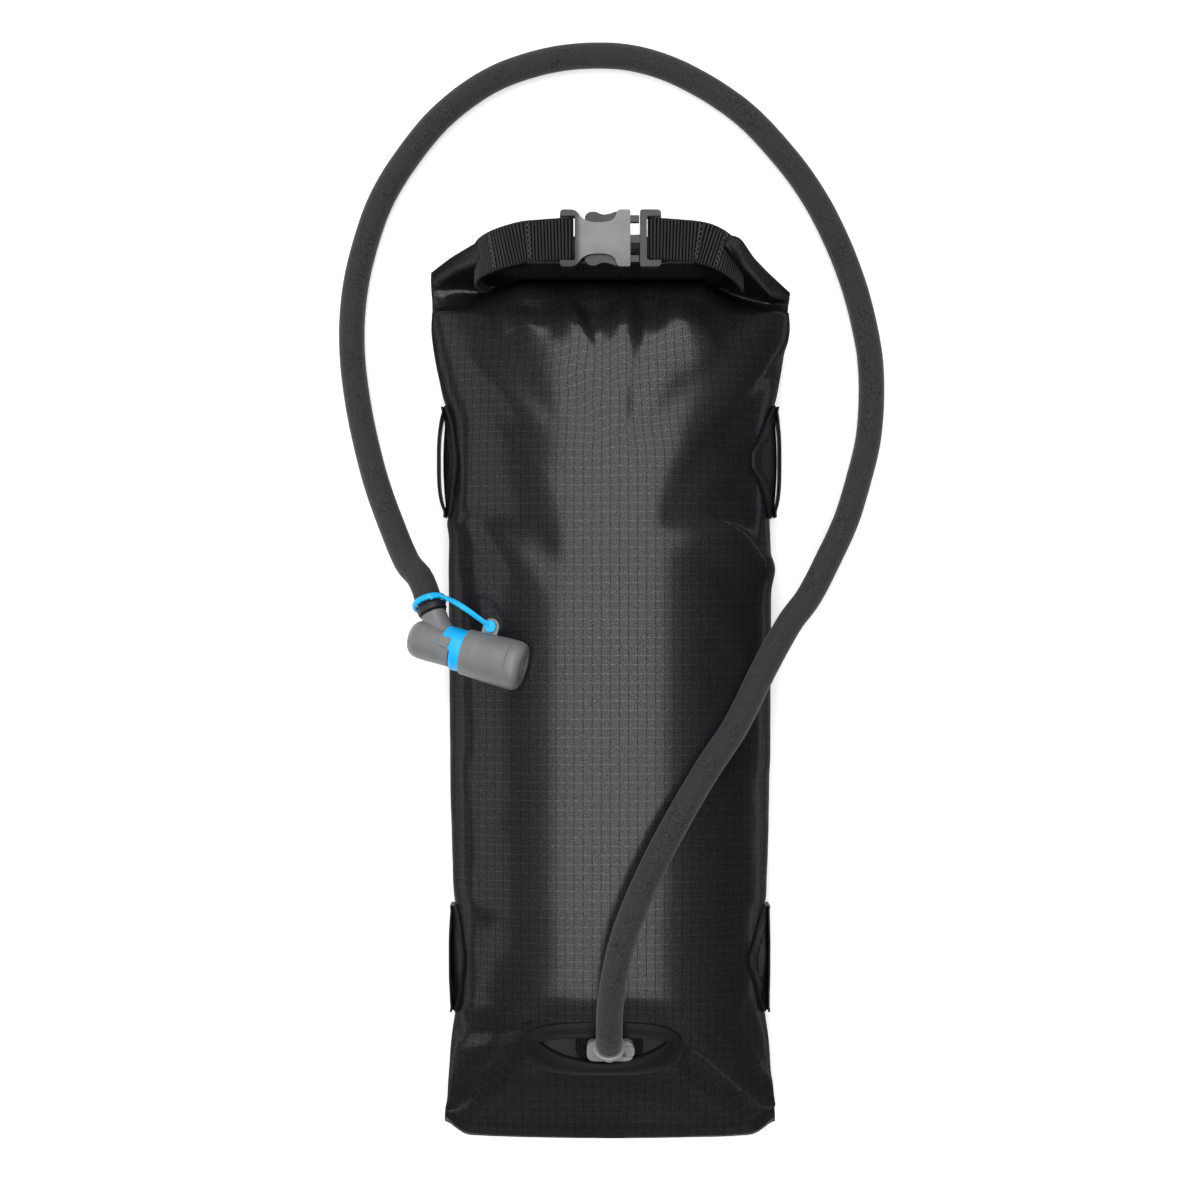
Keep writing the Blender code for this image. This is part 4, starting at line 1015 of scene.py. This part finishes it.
def neck_direction():
    return (HOSE_END - (VALVE_START + valve_axis() * NECK_JOIN)).normalized()


def hose_path():
    bend, direction = hose_start()
    start = bend + direction * 6.8
    neck = neck_direction()
    finish = HOSE_END + neck * 0.4
    route = [start, start + direction * 8, *HOSE_ROUTE, finish + neck * 14, finish]
    return smooth_route(route, 4)


def build_hose():
    """The foam sleeve and the drink tube inside it, on the CAD's route."""
    path = hose_path()
    total = length_of(path)

    def skin(i, run):
        """The foam's uneven round section, with its glued seam and its rounded ends."""
        seam = math.radians(250)
        outline = []
        for a in angles(40):
            here = path[i] + Vector((math.cos(a), math.sin(a), 0)) * 5
            turn = math.atan2(math.sin(a - seam), math.cos(a - seam))
            radius = HOSE_RADIUS + 0.07 * grain(here, 7) - 0.16 * math.exp(-(turn / 0.07) ** 2)
            radius -= 0.7 * max(0.0, 1 - min(run, total - run) / 1.4) ** 2
            outline.append((radius * math.cos(a), radius * math.sin(a)))
        return outline

    foam = piece("hose_foam", swept(path, skin, HOSE_SIDE), "hose", HOSE_FOAM, "tube_sleeve")
    piece("drink_tube_inner", swept(path[1:-1], circle(TUBE_RADIUS, 24), HOSE_SIDE), "hose", TUBE,
          "drink_tube")
    return foam, path, total


def build_plug():
    """The quick-connect plug: a stem in the socket, a ball joint and the ring round the hose's end."""
    across, _, normal = port_axes()
    bend, direction = hose_start()
    stem = [(-1.6, 2.4), (-1.5, 3.7), (-1.2, 3.9), (0.1, 3.9), (0.2, 3.1), (1.1, 3.1), (1.2, 4.2),
            (4.2, 4.2), (5.0, 3.0)]
    ring = [(-1.8, 3.9), (-0.5, 4.6), (2.4, 5.2), (4.6, 5.6), (4.9, 6.9), (5.2, 7.6), (5.8, 7.95), (6.4, 7.9),
            (6.8, 7.5), (6.9, 7.1), (6.8, 6.9), (6.5, 3.4)]
    plug = combine("quick_plug", [turned(stem, port_point(), normal, across, 64),
                                  turned(ring, bend, direction, across, 96)])
    return finished(plug, "hose", CONNECTOR, "quick_connect_plug")


# ---------------------------------------------------------------- bite valve

def build_valve():
    """The elbow with its detent tab and mould mark, and the collar and the line where the hose joins it."""
    axis, neck = valve_axis(), neck_direction()
    join_at = VALVE_START + axis * NECK_JOIN
    reach = (HOSE_END - join_at).length
    barrel = [(0, 0.5), (0.05, 3), (0.5, 5.2), (1.3, 6.8), (2.6, 8.1), (4.4, 8.95), (7, 9.35), (12, 9.4),
              (22.6, 9.25), (22.7, 8.6), (22.8, 6.2), (27.4, 6.0)]
    stalk = [(0, 8.0), (5, 7.5), (9.5, 6.7), (12, 6.3), (reach - 4.3, 6.15)]
    elbow = combine("valve_body", [turned(barrel, VALVE_START, axis, steps=96),
                                   turned(stalk, join_at, neck, steps=72)])
    finished(fuse(elbow, 0.32, 5), "hose", VALVE_GREY, "valve_elbow")

    across, up, _ = frame_along(axis, (0, 0, 1))
    tilt = across * math.cos(0.12) - up * math.sin(0.12)
    side = axis.cross(tilt)
    detent = piece("detent_tab", prism(plate(17.2, -2.4, 22.6, 2.4, 0.9, 4), VALVE_START - side * 1.2, axis,
                                       side, -11.0, -8.6), "hose", VALVE_GREY, edge=(0.35,))

    mark_out = (tilt * 0.86 + side * 0.4).normalized()
    spot = VALVE_START + axis * 3.2 + mark_out * 8.1
    ring = [(0.35 * math.cos(a), 1.25 + 0.3 * math.sin(a)) for a in angles(10)]
    facing = (mark_out - axis * 0.55).normalized()
    mark = piece("mould_mark", turned(ring, spot, facing, steps=32, solid=False), "hose", VALVE_GREY)

    profile = [(-3.9, 3.5), (-3.9, 6.6), (-3.5, 7.15), (-0.9, 7.25), (-0.4, 6.9), (-0.3, 3.5)]
    collar = piece("tube_collar_ring", turned(profile, HOSE_END, neck, solid=False), "hose", SEAL,
                   "tube_collar")
    line = circle(0.22, 8, -4.6, 6.35)
    groove = piece("neck_line", turned(line, HOSE_END, neck, solid=False), "hose", SEAL)
    return elbow, detent, mark, collar, groove


def build_shutoff():
    """The blue twist ring, longer on one half than on the other, and the silicone bite piece."""
    axis = valve_axis()
    across, up, _ = frame_along(axis, (0, 0, 1))
    side = Vector((0, 0, 1)).cross(axis)
    long_side = math.atan2(side.dot(up), side.dot(across))
    outer = [(0, 9.75), (0.25, 10.05), (0.7, 10.2), (4, 10.25), (8.6, 10.2), (9.9, 10.1), (10.1, 9.9),
             (10.2, 9.6)]
    inner = [(10.1, 7.7), (3.4, 7.7), (3.2, 9.5)]
    steps = 120
    points = []
    for s, r in outer + inner:
        for a in angles(steps):
            long = 1 / (1 + math.exp(-math.cos(a - long_side) * 26))
            begin = 23.4 - 5.4 * long
            at = begin + s * (28.6 - begin) / 10.2 if (s, r) in outer else 21.4 + s * 7.2 / 10.2
            if (s, r) == inner[-1]:
                at = begin + 0.2
            points.append(VALVE_START + axis * at + spin(across, up, a) * r)
    ring = piece("shutoff_ring_cap", (points, ring_faces(len(outer + inner), steps, closed=True)), "shutoff",
                 BLUE, "shutoff_ring")

    profile = [(29.2, 6.9), (29.3, 8.3), (30, 8.5), (40, 8.2), (46, 7.6), (49.5, 6.6), (51, 5.2), (51.2, 3),
               (51.2, 0.35), (48.6, 0.35), (48.6, 3.4), (37.6, 4.6), (37.4, 6.9)]
    return ring, piece("bite_piece", turned(profile, VALVE_START, axis, solid=False), "shutoff", SILICONE,
                       "bite_valve")


def lug_frame():
    """The cover's ear: its middle, the way out of the cover and the way up through the ear."""
    axis = valve_axis()
    out = Vector((0, 0, 1)).cross(axis).normalized()
    up = out.cross(axis)
    return VALVE_START + axis * LUG_AT + out * LUG_OUT, out, -up if up.z < 0 else up


def build_cover():
    """The grey cover of the bite valve, its ear and the raised bar near its end."""
    axis = valve_axis()
    end = COVER_START + COVER_LENGTH
    start = COVER_START
    shell = [(start + 0.6, 9.5), (start + 0.5, 10.9), (start + 0.8, 11.15), (start + 2, 11.2),
             (end - 12, 11.85), (end - 6, 12.05), (end - 3.6, 11.95), (end - 2, 11.5), (end - 0.8, 10.6),
             (end - 0.15, 9.3), (end, 7.8), (end, 5.6), (end - 0.5, 5.3), (end - 0.55, 4.9), (end - 0.1, 4.6),
             (end - 0.05, 1.2), (end - 0.9, 0.5), (end - 2.5, 0.5), (end - 2.5, 7.5), (end - 6, 9.9)]
    cover = piece("cover_shell", turned(shell, VALVE_START, axis, steps=128, solid=False), "valve_cover",
                  VALVE_GREY, "valve_cover")
    lug, out, _ = lug_frame()
    tab = [(-6, -LUG_RADIUS - 1.4), (-4.5, -LUG_RADIUS)]
    half_turn = [math.pi * k / 16 for k in range(17)]
    tab += [(LUG_RADIUS * math.sin(a), -LUG_RADIUS * math.cos(a)) for a in half_turn]
    tab += [(-4.5, LUG_RADIUS), (-6, LUG_RADIUS + 1.4)]
    ear = piece("cover_lug", prism(tab, lug, out, axis, -1.15, 1.15), "valve_cover", CONNECTOR, edge=(0.4,))

    across, up, _ = frame_along(axis, (0, 0, 1))
    line = [VALVE_START + axis * (end - 7.4) + spin(across, up, a) * COVER_RADIUS
            for a in (math.radians(-46 + 62 * k / 14) for k in range(15))]
    bar = piece("cover_bar", swept(line, oblong(0.5, 0.62), axis), "valve_cover", VALVE_GREY)
    return cover, ear, bar


def build_tether():
    """A soft strap: a loop round the hose with a small ear, an arched band and a button through the lug."""
    axis, neck = valve_axis(), neck_direction()
    lug, _, top = lug_frame()
    centre = HOSE_END + neck * 1.2
    across, up, _ = frame_along(neck, (0, 0, 1))
    lean = (neck + up * 0.05 - across * 0.14).normalized()
    ring = [(x, 7.55 + y) for x, y in oblong(1.45, 1.0)]

    def off_hose(x, y, z):
        """The direction square to the neck that is nearest to (x, y, z)."""
        return (Vector((x, y, z)) - neck * neck.dot(Vector((x, y, z)))).normalized()

    start = centre + off_hose(-0.1, 0.8, 0.8) * 7.6
    first = centre + off_hose(0.55, 0.6, 0.75) * 8.4
    pad = lug + top * 2.3
    arch = [first.lerp(pad, t) + top * rise + Vector((0, sway, 0))
            for t, rise, sway in ((0.25, 2.2, 1.6), (0.55, 3.4, 1.8), (0.85, 1.6, 0.6))]
    arch = smooth_route([start, first, *arch, pad], 1.2)
    shapes = [turned(ring, centre, lean, steps=72, solid=False), swept(arch, oblong(1.35, 0.75), axis)[:2],
              turned([(1.3, 2.4), (1.6, 3.0), (2.9, 3.0), (3.3, 2.5)], lug, top, steps=40),
              turned([(-2.6, 1.2), (-2.2, 2.3), (-1.4, 2.4), (-1.3, 1.3), (2, 1.3)], lug, top, steps=32)]
    from_hose = tuple((centre + off_hose(*(lug - centre)) * 7) * MM)
    return finished(fuse(combine("tether_strap", shapes), 0.26, 3),
                    ("hose", "valve_cover", from_hose, tuple(lug * MM)), BLUE, "cover_tether")


# ---------------------------------------------------------------- roll-top, webbing and buckle

ROLL_TIP_Z = 65.5
ROLL_MIDDLE_Z = 46


def roll_line(tip_x):
    """The roll's centre line: a back run and a forward turn at each end, the turns leaning to the bag."""
    route = []
    for side in (-1, 1):
        run = [(tip_x, 213.5, ROLL_TIP_Z), (45, 213, ROLL_TIP_Z - 0.3)]
        for k in range(1, 8):
            a = math.pi * k / 8
            run.append((46 + 14.5 * math.sin(a), 213 - 5 * math.sin(a * 0.75),
                        ROLL_MIDDLE_Z + 19.2 * math.cos(a)))
        run += [(42, 211.5, 26), (28, 214.5, 25)]
        run = [Vector((side * x, y, z)) for x, y, z in run]
        route += run if side < 0 else [Vector((0, 215.5, 25))] + run[::-1]
    return smooth_route(route, 1.6)


def build_roll():
    """The rolled mouth and the stiff strip inside it."""
    path = roll_line(41)
    total = length_of(path)

    def layers(_, run):
        """A flattened roll: its outline steps out by one cloth thickness where the last wrap ends."""
        outline = []
        squeeze = 1 + 0.05 * grain((run, 0, 0), 18)
        ends = min(run, total - run) / 6
        for k, a in enumerate(angles(36)):
            wrap = 0.9 * (1 - k / 36)
            pucker = 0.45 * grain((run * 0.8, 14 * math.cos(a), 14 * math.sin(a)), 5, 2.0)
            tall = 9.6 * power(math.cos(a), 2.4) * squeeze
            deep = (3.9 + wrap * 0.6 + pucker) * power(math.sin(a), 2.4)
            outline.append((tall + 0.35 * pucker, deep * min(1.0, 0.75 + 0.25 * ends)))
        return outline

    # The roll's darker fabric is painted shade for the shadow under the webbing.
    piece("roll_wraps", swept(path, layers, (0, 1, 0)), "sleeve", SHADED_ROLL_FABRIC, "roll_top", sharp=0)
    piece("roll_stiffener_bar", swept(path[2:-2], plate(-6.5, -0.7, 6.5, 0.7), (0, 1, 0)), "sleeve", PLASTIC,
          "roll_stiffener")


def strap_section(_, run):
    """Section of ribbed webbing at a distance along it: the ribs run across, and its edges are rounded."""
    rib = 0.5 + 0.5 * math.cos(2 * math.pi * run / RIB_PITCH)
    high = STRAP_THICK * (0.36 + 0.64 * rib ** 0.6)
    wide = STRAP_HALF * (0.988 + 0.012 * rib)
    top = [(-wide, 0), (-wide + 0.25, high * 0.8), (-wide + 0.8, high)]
    top += [(-wide + 0.8 + (2 * wide - 1.6) * k / 6, high) for k in range(1, 6)]
    top += [(wide - 0.8, high), (wide - 0.25, high * 0.8), (wide, 0)]
    return top + [(x, -y) for x, y in reversed(top[1:-1])]


def strap_route(side):
    """A strap's centre line: out of the buckle's bar, along the roll's front and round its end."""
    low, mid, high = BUCKLE.z - 2.6, BUCKLE.z, BUCKLE.z + 2.6
    route = [(40, 214.5, 71.2), (31, 215, 71.8), (24, 215, low), (20.8, 215, low + 0.1),
             (18.6, 215, mid - 1.2), (18.6, 215, mid + 1.2), (20.8, 215, high - 0.1), (25, 214.9, 77.0),
             (33, 214.6, 75.4), (42, 214, 73.6)]
    if side < 0:
        for a in (math.pi * k / 9 for k in range(1, 9)):
            route.append((46 + 19.6 * math.sin(a), 213.2 - 7.4 * math.sin(a * 0.66),
                          ROLL_MIDDLE_Z + 26 * math.cos(a)))
        route += [(43, 206.5, 20.4)]
    else:
        route += [(49, 212, 72.6), (55, 209.4, 69), (60, 206.6, 62.5), (63.5, 204.5, 54), (64.5, 203.5, 46)]
    return smooth_route([Vector((side * x, y, z)) for x, y, z in route], RIB_PITCH / 7)


def build_webbing(side):
    """One strap and its two zigzag bar tacks."""
    path = strap_route(side)
    name = "left" if side < 0 else "right"
    tacks = []
    for x in ((38.5, 56.0) if side < 0 else (41.5, 52.5)):
        near = max((p for p in path if p.z > 64), key=lambda p: -abs(abs(p.x) - x) + p.z * 0.02)
        i = path.index(near)
        along = (path[i + 4] - path[i - 4]).normalized()
        across, up, _ = frame_along(along, (0, 1, 0))
        out = up if up.z > 0 else -up
        zig = [near + across * (-8.6 + 17.2 * k / 14) + along * (0.7 if k % 2 else -0.7) + out * 0.92
               for k in range(15)]
        tacks.append(swept(smooth_route(zig, 0.5), circle(0.34, 6), out)[:2])
    body = "sleeve" if side < 0 else ("sleeve", "buckle_male", (0.058, 0.21, 0.073), (0.027, 0.215, 0.075))
    piece(f"strap_{name}", swept(path, strap_section, (0, 1, 0)), body, WEBBING, f"webbing_{name}", sharp=0)
    finished(combine(f"bar_tacks_{name}", tacks), body, THREAD)


def build_buckle():
    """Side-release buckle: a waisted female body and a male frame with two sprung arms."""
    long, tall, deep = 24, 13.5, 4.2

    def block(outline, low, high):
        return prism(outline, BUCKLE, (1, 0, 0), (0, 1, 0), low, high)

    def cutter(x, y, z, radius=0.0):
        """A block from its two ends along x, y and z."""
        y0, y1 = sorted(y)
        return block(plate(x[0], y0, x[1], y1, radius), *sorted(z))

    upper = [(-long, tall, 2.0), (-16.5, tall, 2.6), (-13.2, 8.9, 2.6), (-8.6, 7.4, 3.0), (-2.4, 7.4, 3.0),
             (1.8, 8.9, 2.6), (3.4, tall, 1.4), (9.4, tall, 1.0)]
    lower = [(x, -y, r) for x, y, r in reversed(upper)]
    female = outward(place("buckle_body", *block(rounded(upper + lower, 7), -deep, deep), sharp=35))
    subtract(female, cutter((-20.4, -17), (-10.3, 10.3), (-9, 9), 0.9))
    for side in (-1, 1):
        subtract(female, cutter((-26, -16.8), (-10.5, 10.5), (side * 1.5, side * 7), 0.5),
                 cutter((-13, 3.7), (side * 4.6, side * 20), (-2.6, 2.6)),
                 cutter((3, 14), (side * 4.8, side * 12.3), (-2.5, 2.5)))
    subtract(female, cutter((-9, 14), (-2.4, 2.4), (-1.9, 1.9)))
    finished(soften(female, 0.55, 3, 35), "sleeve", BUCKLE_BLACK, "buckle_female")

    sides = [(14, -tall, 1.2), (long, -tall, 2.2), (long, tall, 2.2), (14, tall, 1.2)]
    male = outward(place("buckle_frame", *block(rounded(sides, 6), -deep, deep)))
    for side in (-1, 1):
        subtract(male, cutter((18.2, 26), (-10.5, 10.5), (side * 1.5, side * 7), 0.5))
    subtract(male, cutter((17.2, 20.4), (-10.3, 10.3), (-9, 9), 0.8))
    guide = rounded([(-8, -1.4, 1.2), (15, -2, 0.1), (15, 2, 0.1), (-8, 1.4, 1.2)], 5)
    subtract(male, block(guide, -1.5, 1.5), operation="UNION")
    finished(soften(male, 0.5, 3, 35), "buckle_male", FRAME_BLACK, "buckle_male")

    arm = [(13.6, 7.9, 0.1), (3, 7.9, 2), (-4, 7.5, 2), (-9, 7.6, 2), (-12, 9, 0.8), (-12.3, 10.4, 0.8),
           (-10.6, 12.6, 1.4), (-7, 12.9, 1.6), (-4.2, 11.3, 1.6), (-1, 11.6, 1.6), (2.9, 13, 0.4),
           (2.9, 11.3, 0.3), (5, 11.1, 1), (13.6, 11.1, 0.1)]
    for name, side in (("buckle_arm_upper", 1), ("buckle_arm_lower", -1)):
        outline = rounded([(x, side * y, r) for x, y, r in arm], 5)
        piece(f"{name}_blade", block(outline, -2.2, 2.2), name, FRAME_BLACK, name, edge=(0.4, 3, 35))


# ---------------------------------------------------------------- lash tabs

def build_lash_tab(level, side):
    """A six-sided rubber patch welded over the bag's side, and the strap that bows off it."""
    centre_y, half_long = LASH_TABS[level]
    name = f"{'left' if side < 0 else 'right'}_{level}"
    widest, stand = LASH_REACH[name]
    rows, steps = 57, 48
    wide = steps + 1

    def reach_at(t):
        return widest - (widest - 10) * max(0.0, (abs(t) - 0.12) / 0.88)

    def height(t, u):
        """Rubber thickness over the cloth: thin at the edge, with one moulded line inside it."""
        edge = min((1 - abs(u)) * reach_at(t) * 0.8, (1 - abs(t)) * half_long)
        lift = 0.15 + 0.95 * min(1.0, edge / 0.7)
        return lift + 0.45 * math.exp(-((edge - 5.2) / 0.45) ** 2)

    layers = []
    for under in (False, True):
        for r in range(rows):
            t = 2 * r / (rows - 1) - 1
            y = centre_y + half_long * t
            reach = math.radians(reach_at(t))
            for k in range(wide):
                u = 2 * k / steps - 1
                beside = section_point(y, reach * u + 0.01) - section_point(y, reach * u - 0.01)
                normal = Vector((beside.z, 0, -beside.x)).normalized()
                if abs(u) < 1e-6:
                    normal = Vector((1, 0, 0))
                over_seam = 2.0 * max(0.0, 1 - t * t) * math.exp(-(u / 0.6) ** 2)
                lift = 0.1 if under else 0.6 + height(t, u) + over_seam
                spot = section_point(y, reach * u) + normal * lift
                layers.append(Vector((side * spot.x, y, max(spot.z, 0.15))))
    count = rows * wide
    faces = []
    for r in range(rows - 1):
        for k in range(steps):
            a = r * wide + k
            quad = (a, a + 1, a + 1 + wide, a + wide)
            faces += [quad, tuple(i + count for i in reversed(quad))]
    rim = list(range(wide)) + [r * wide + steps for r in range(1, rows)]
    rim += [(rows - 1) * wide + k for k in range(steps - 1, -1, -1)]
    rim += [r * wide for r in range(rows - 2, 0, -1)]
    faces += [(b, a, a + count, b + count) for a, b in zip(rim, rim[1:] + rim[:1])]
    piece(f"lash_pad_{name}", (layers, faces), "sleeve", WELD_RUBBER, f"lash_patch_{name}")

    half, seam = bag_at(centre_y)[:2]
    route = []
    for k in range(41):
        t = 2 * k / 40 - 1
        y = centre_y + half_long * 0.98 * t
        bow = stand * max(0.0, 1 - (abs(t) / 0.88) ** 3.2) ** 0.8 if abs(t) < 0.88 else 0.0
        route.append(Vector((side * (half * 0.4 + bag_at(y)[0] * 0.6 + 2.6 + bow), y, seam)))
    piece(f"lash_strap_{name}", swept(smooth_route(route, 0.8), oblong(7.8, 0.5, 0.4), (0, 0, 1)), "sleeve",
          WELD_RUBBER, f"lash_loop_{name}")


# ---------------------------------------------------------------- the CAD's inner pieces

INNER_FINISHES = {
    "insulation_front": FOAM_PAD, "insulation_back": FOAM_PAD, "reservoir": CLEAR_FILM,
    "reservoir_slide_bar": PLASTIC, "button_spring": SPRING, "plug_o_ring": SEAL, "valve_o_ring": SEAL,
}


def dress_cad():
    for name, finish in INNER_FINISHES.items():
        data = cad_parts[name].data
        data.materials.clear()
        data.materials.append(finish)


# ---------------------------------------------------------------- putting it together

make_camera()
foam, path, total = build_hose()
plug = build_plug()
elbow, detent, mark, collar, groove = build_valve()
ring, bite = build_shutoff()
cover, ear, bar = build_cover()
tether = build_tether()

make_studio()
front_half = build_shell()
sample = surface_sampler(front_half)
build_patch(sample)
build_port(sample)
build_roll()
build_webbing(-1)
build_webbing(1)
build_buckle()
for level in LASH_TABS:
    build_lash_tab(level, -1)
    build_lash_tab(level, 1)
dress_cad()
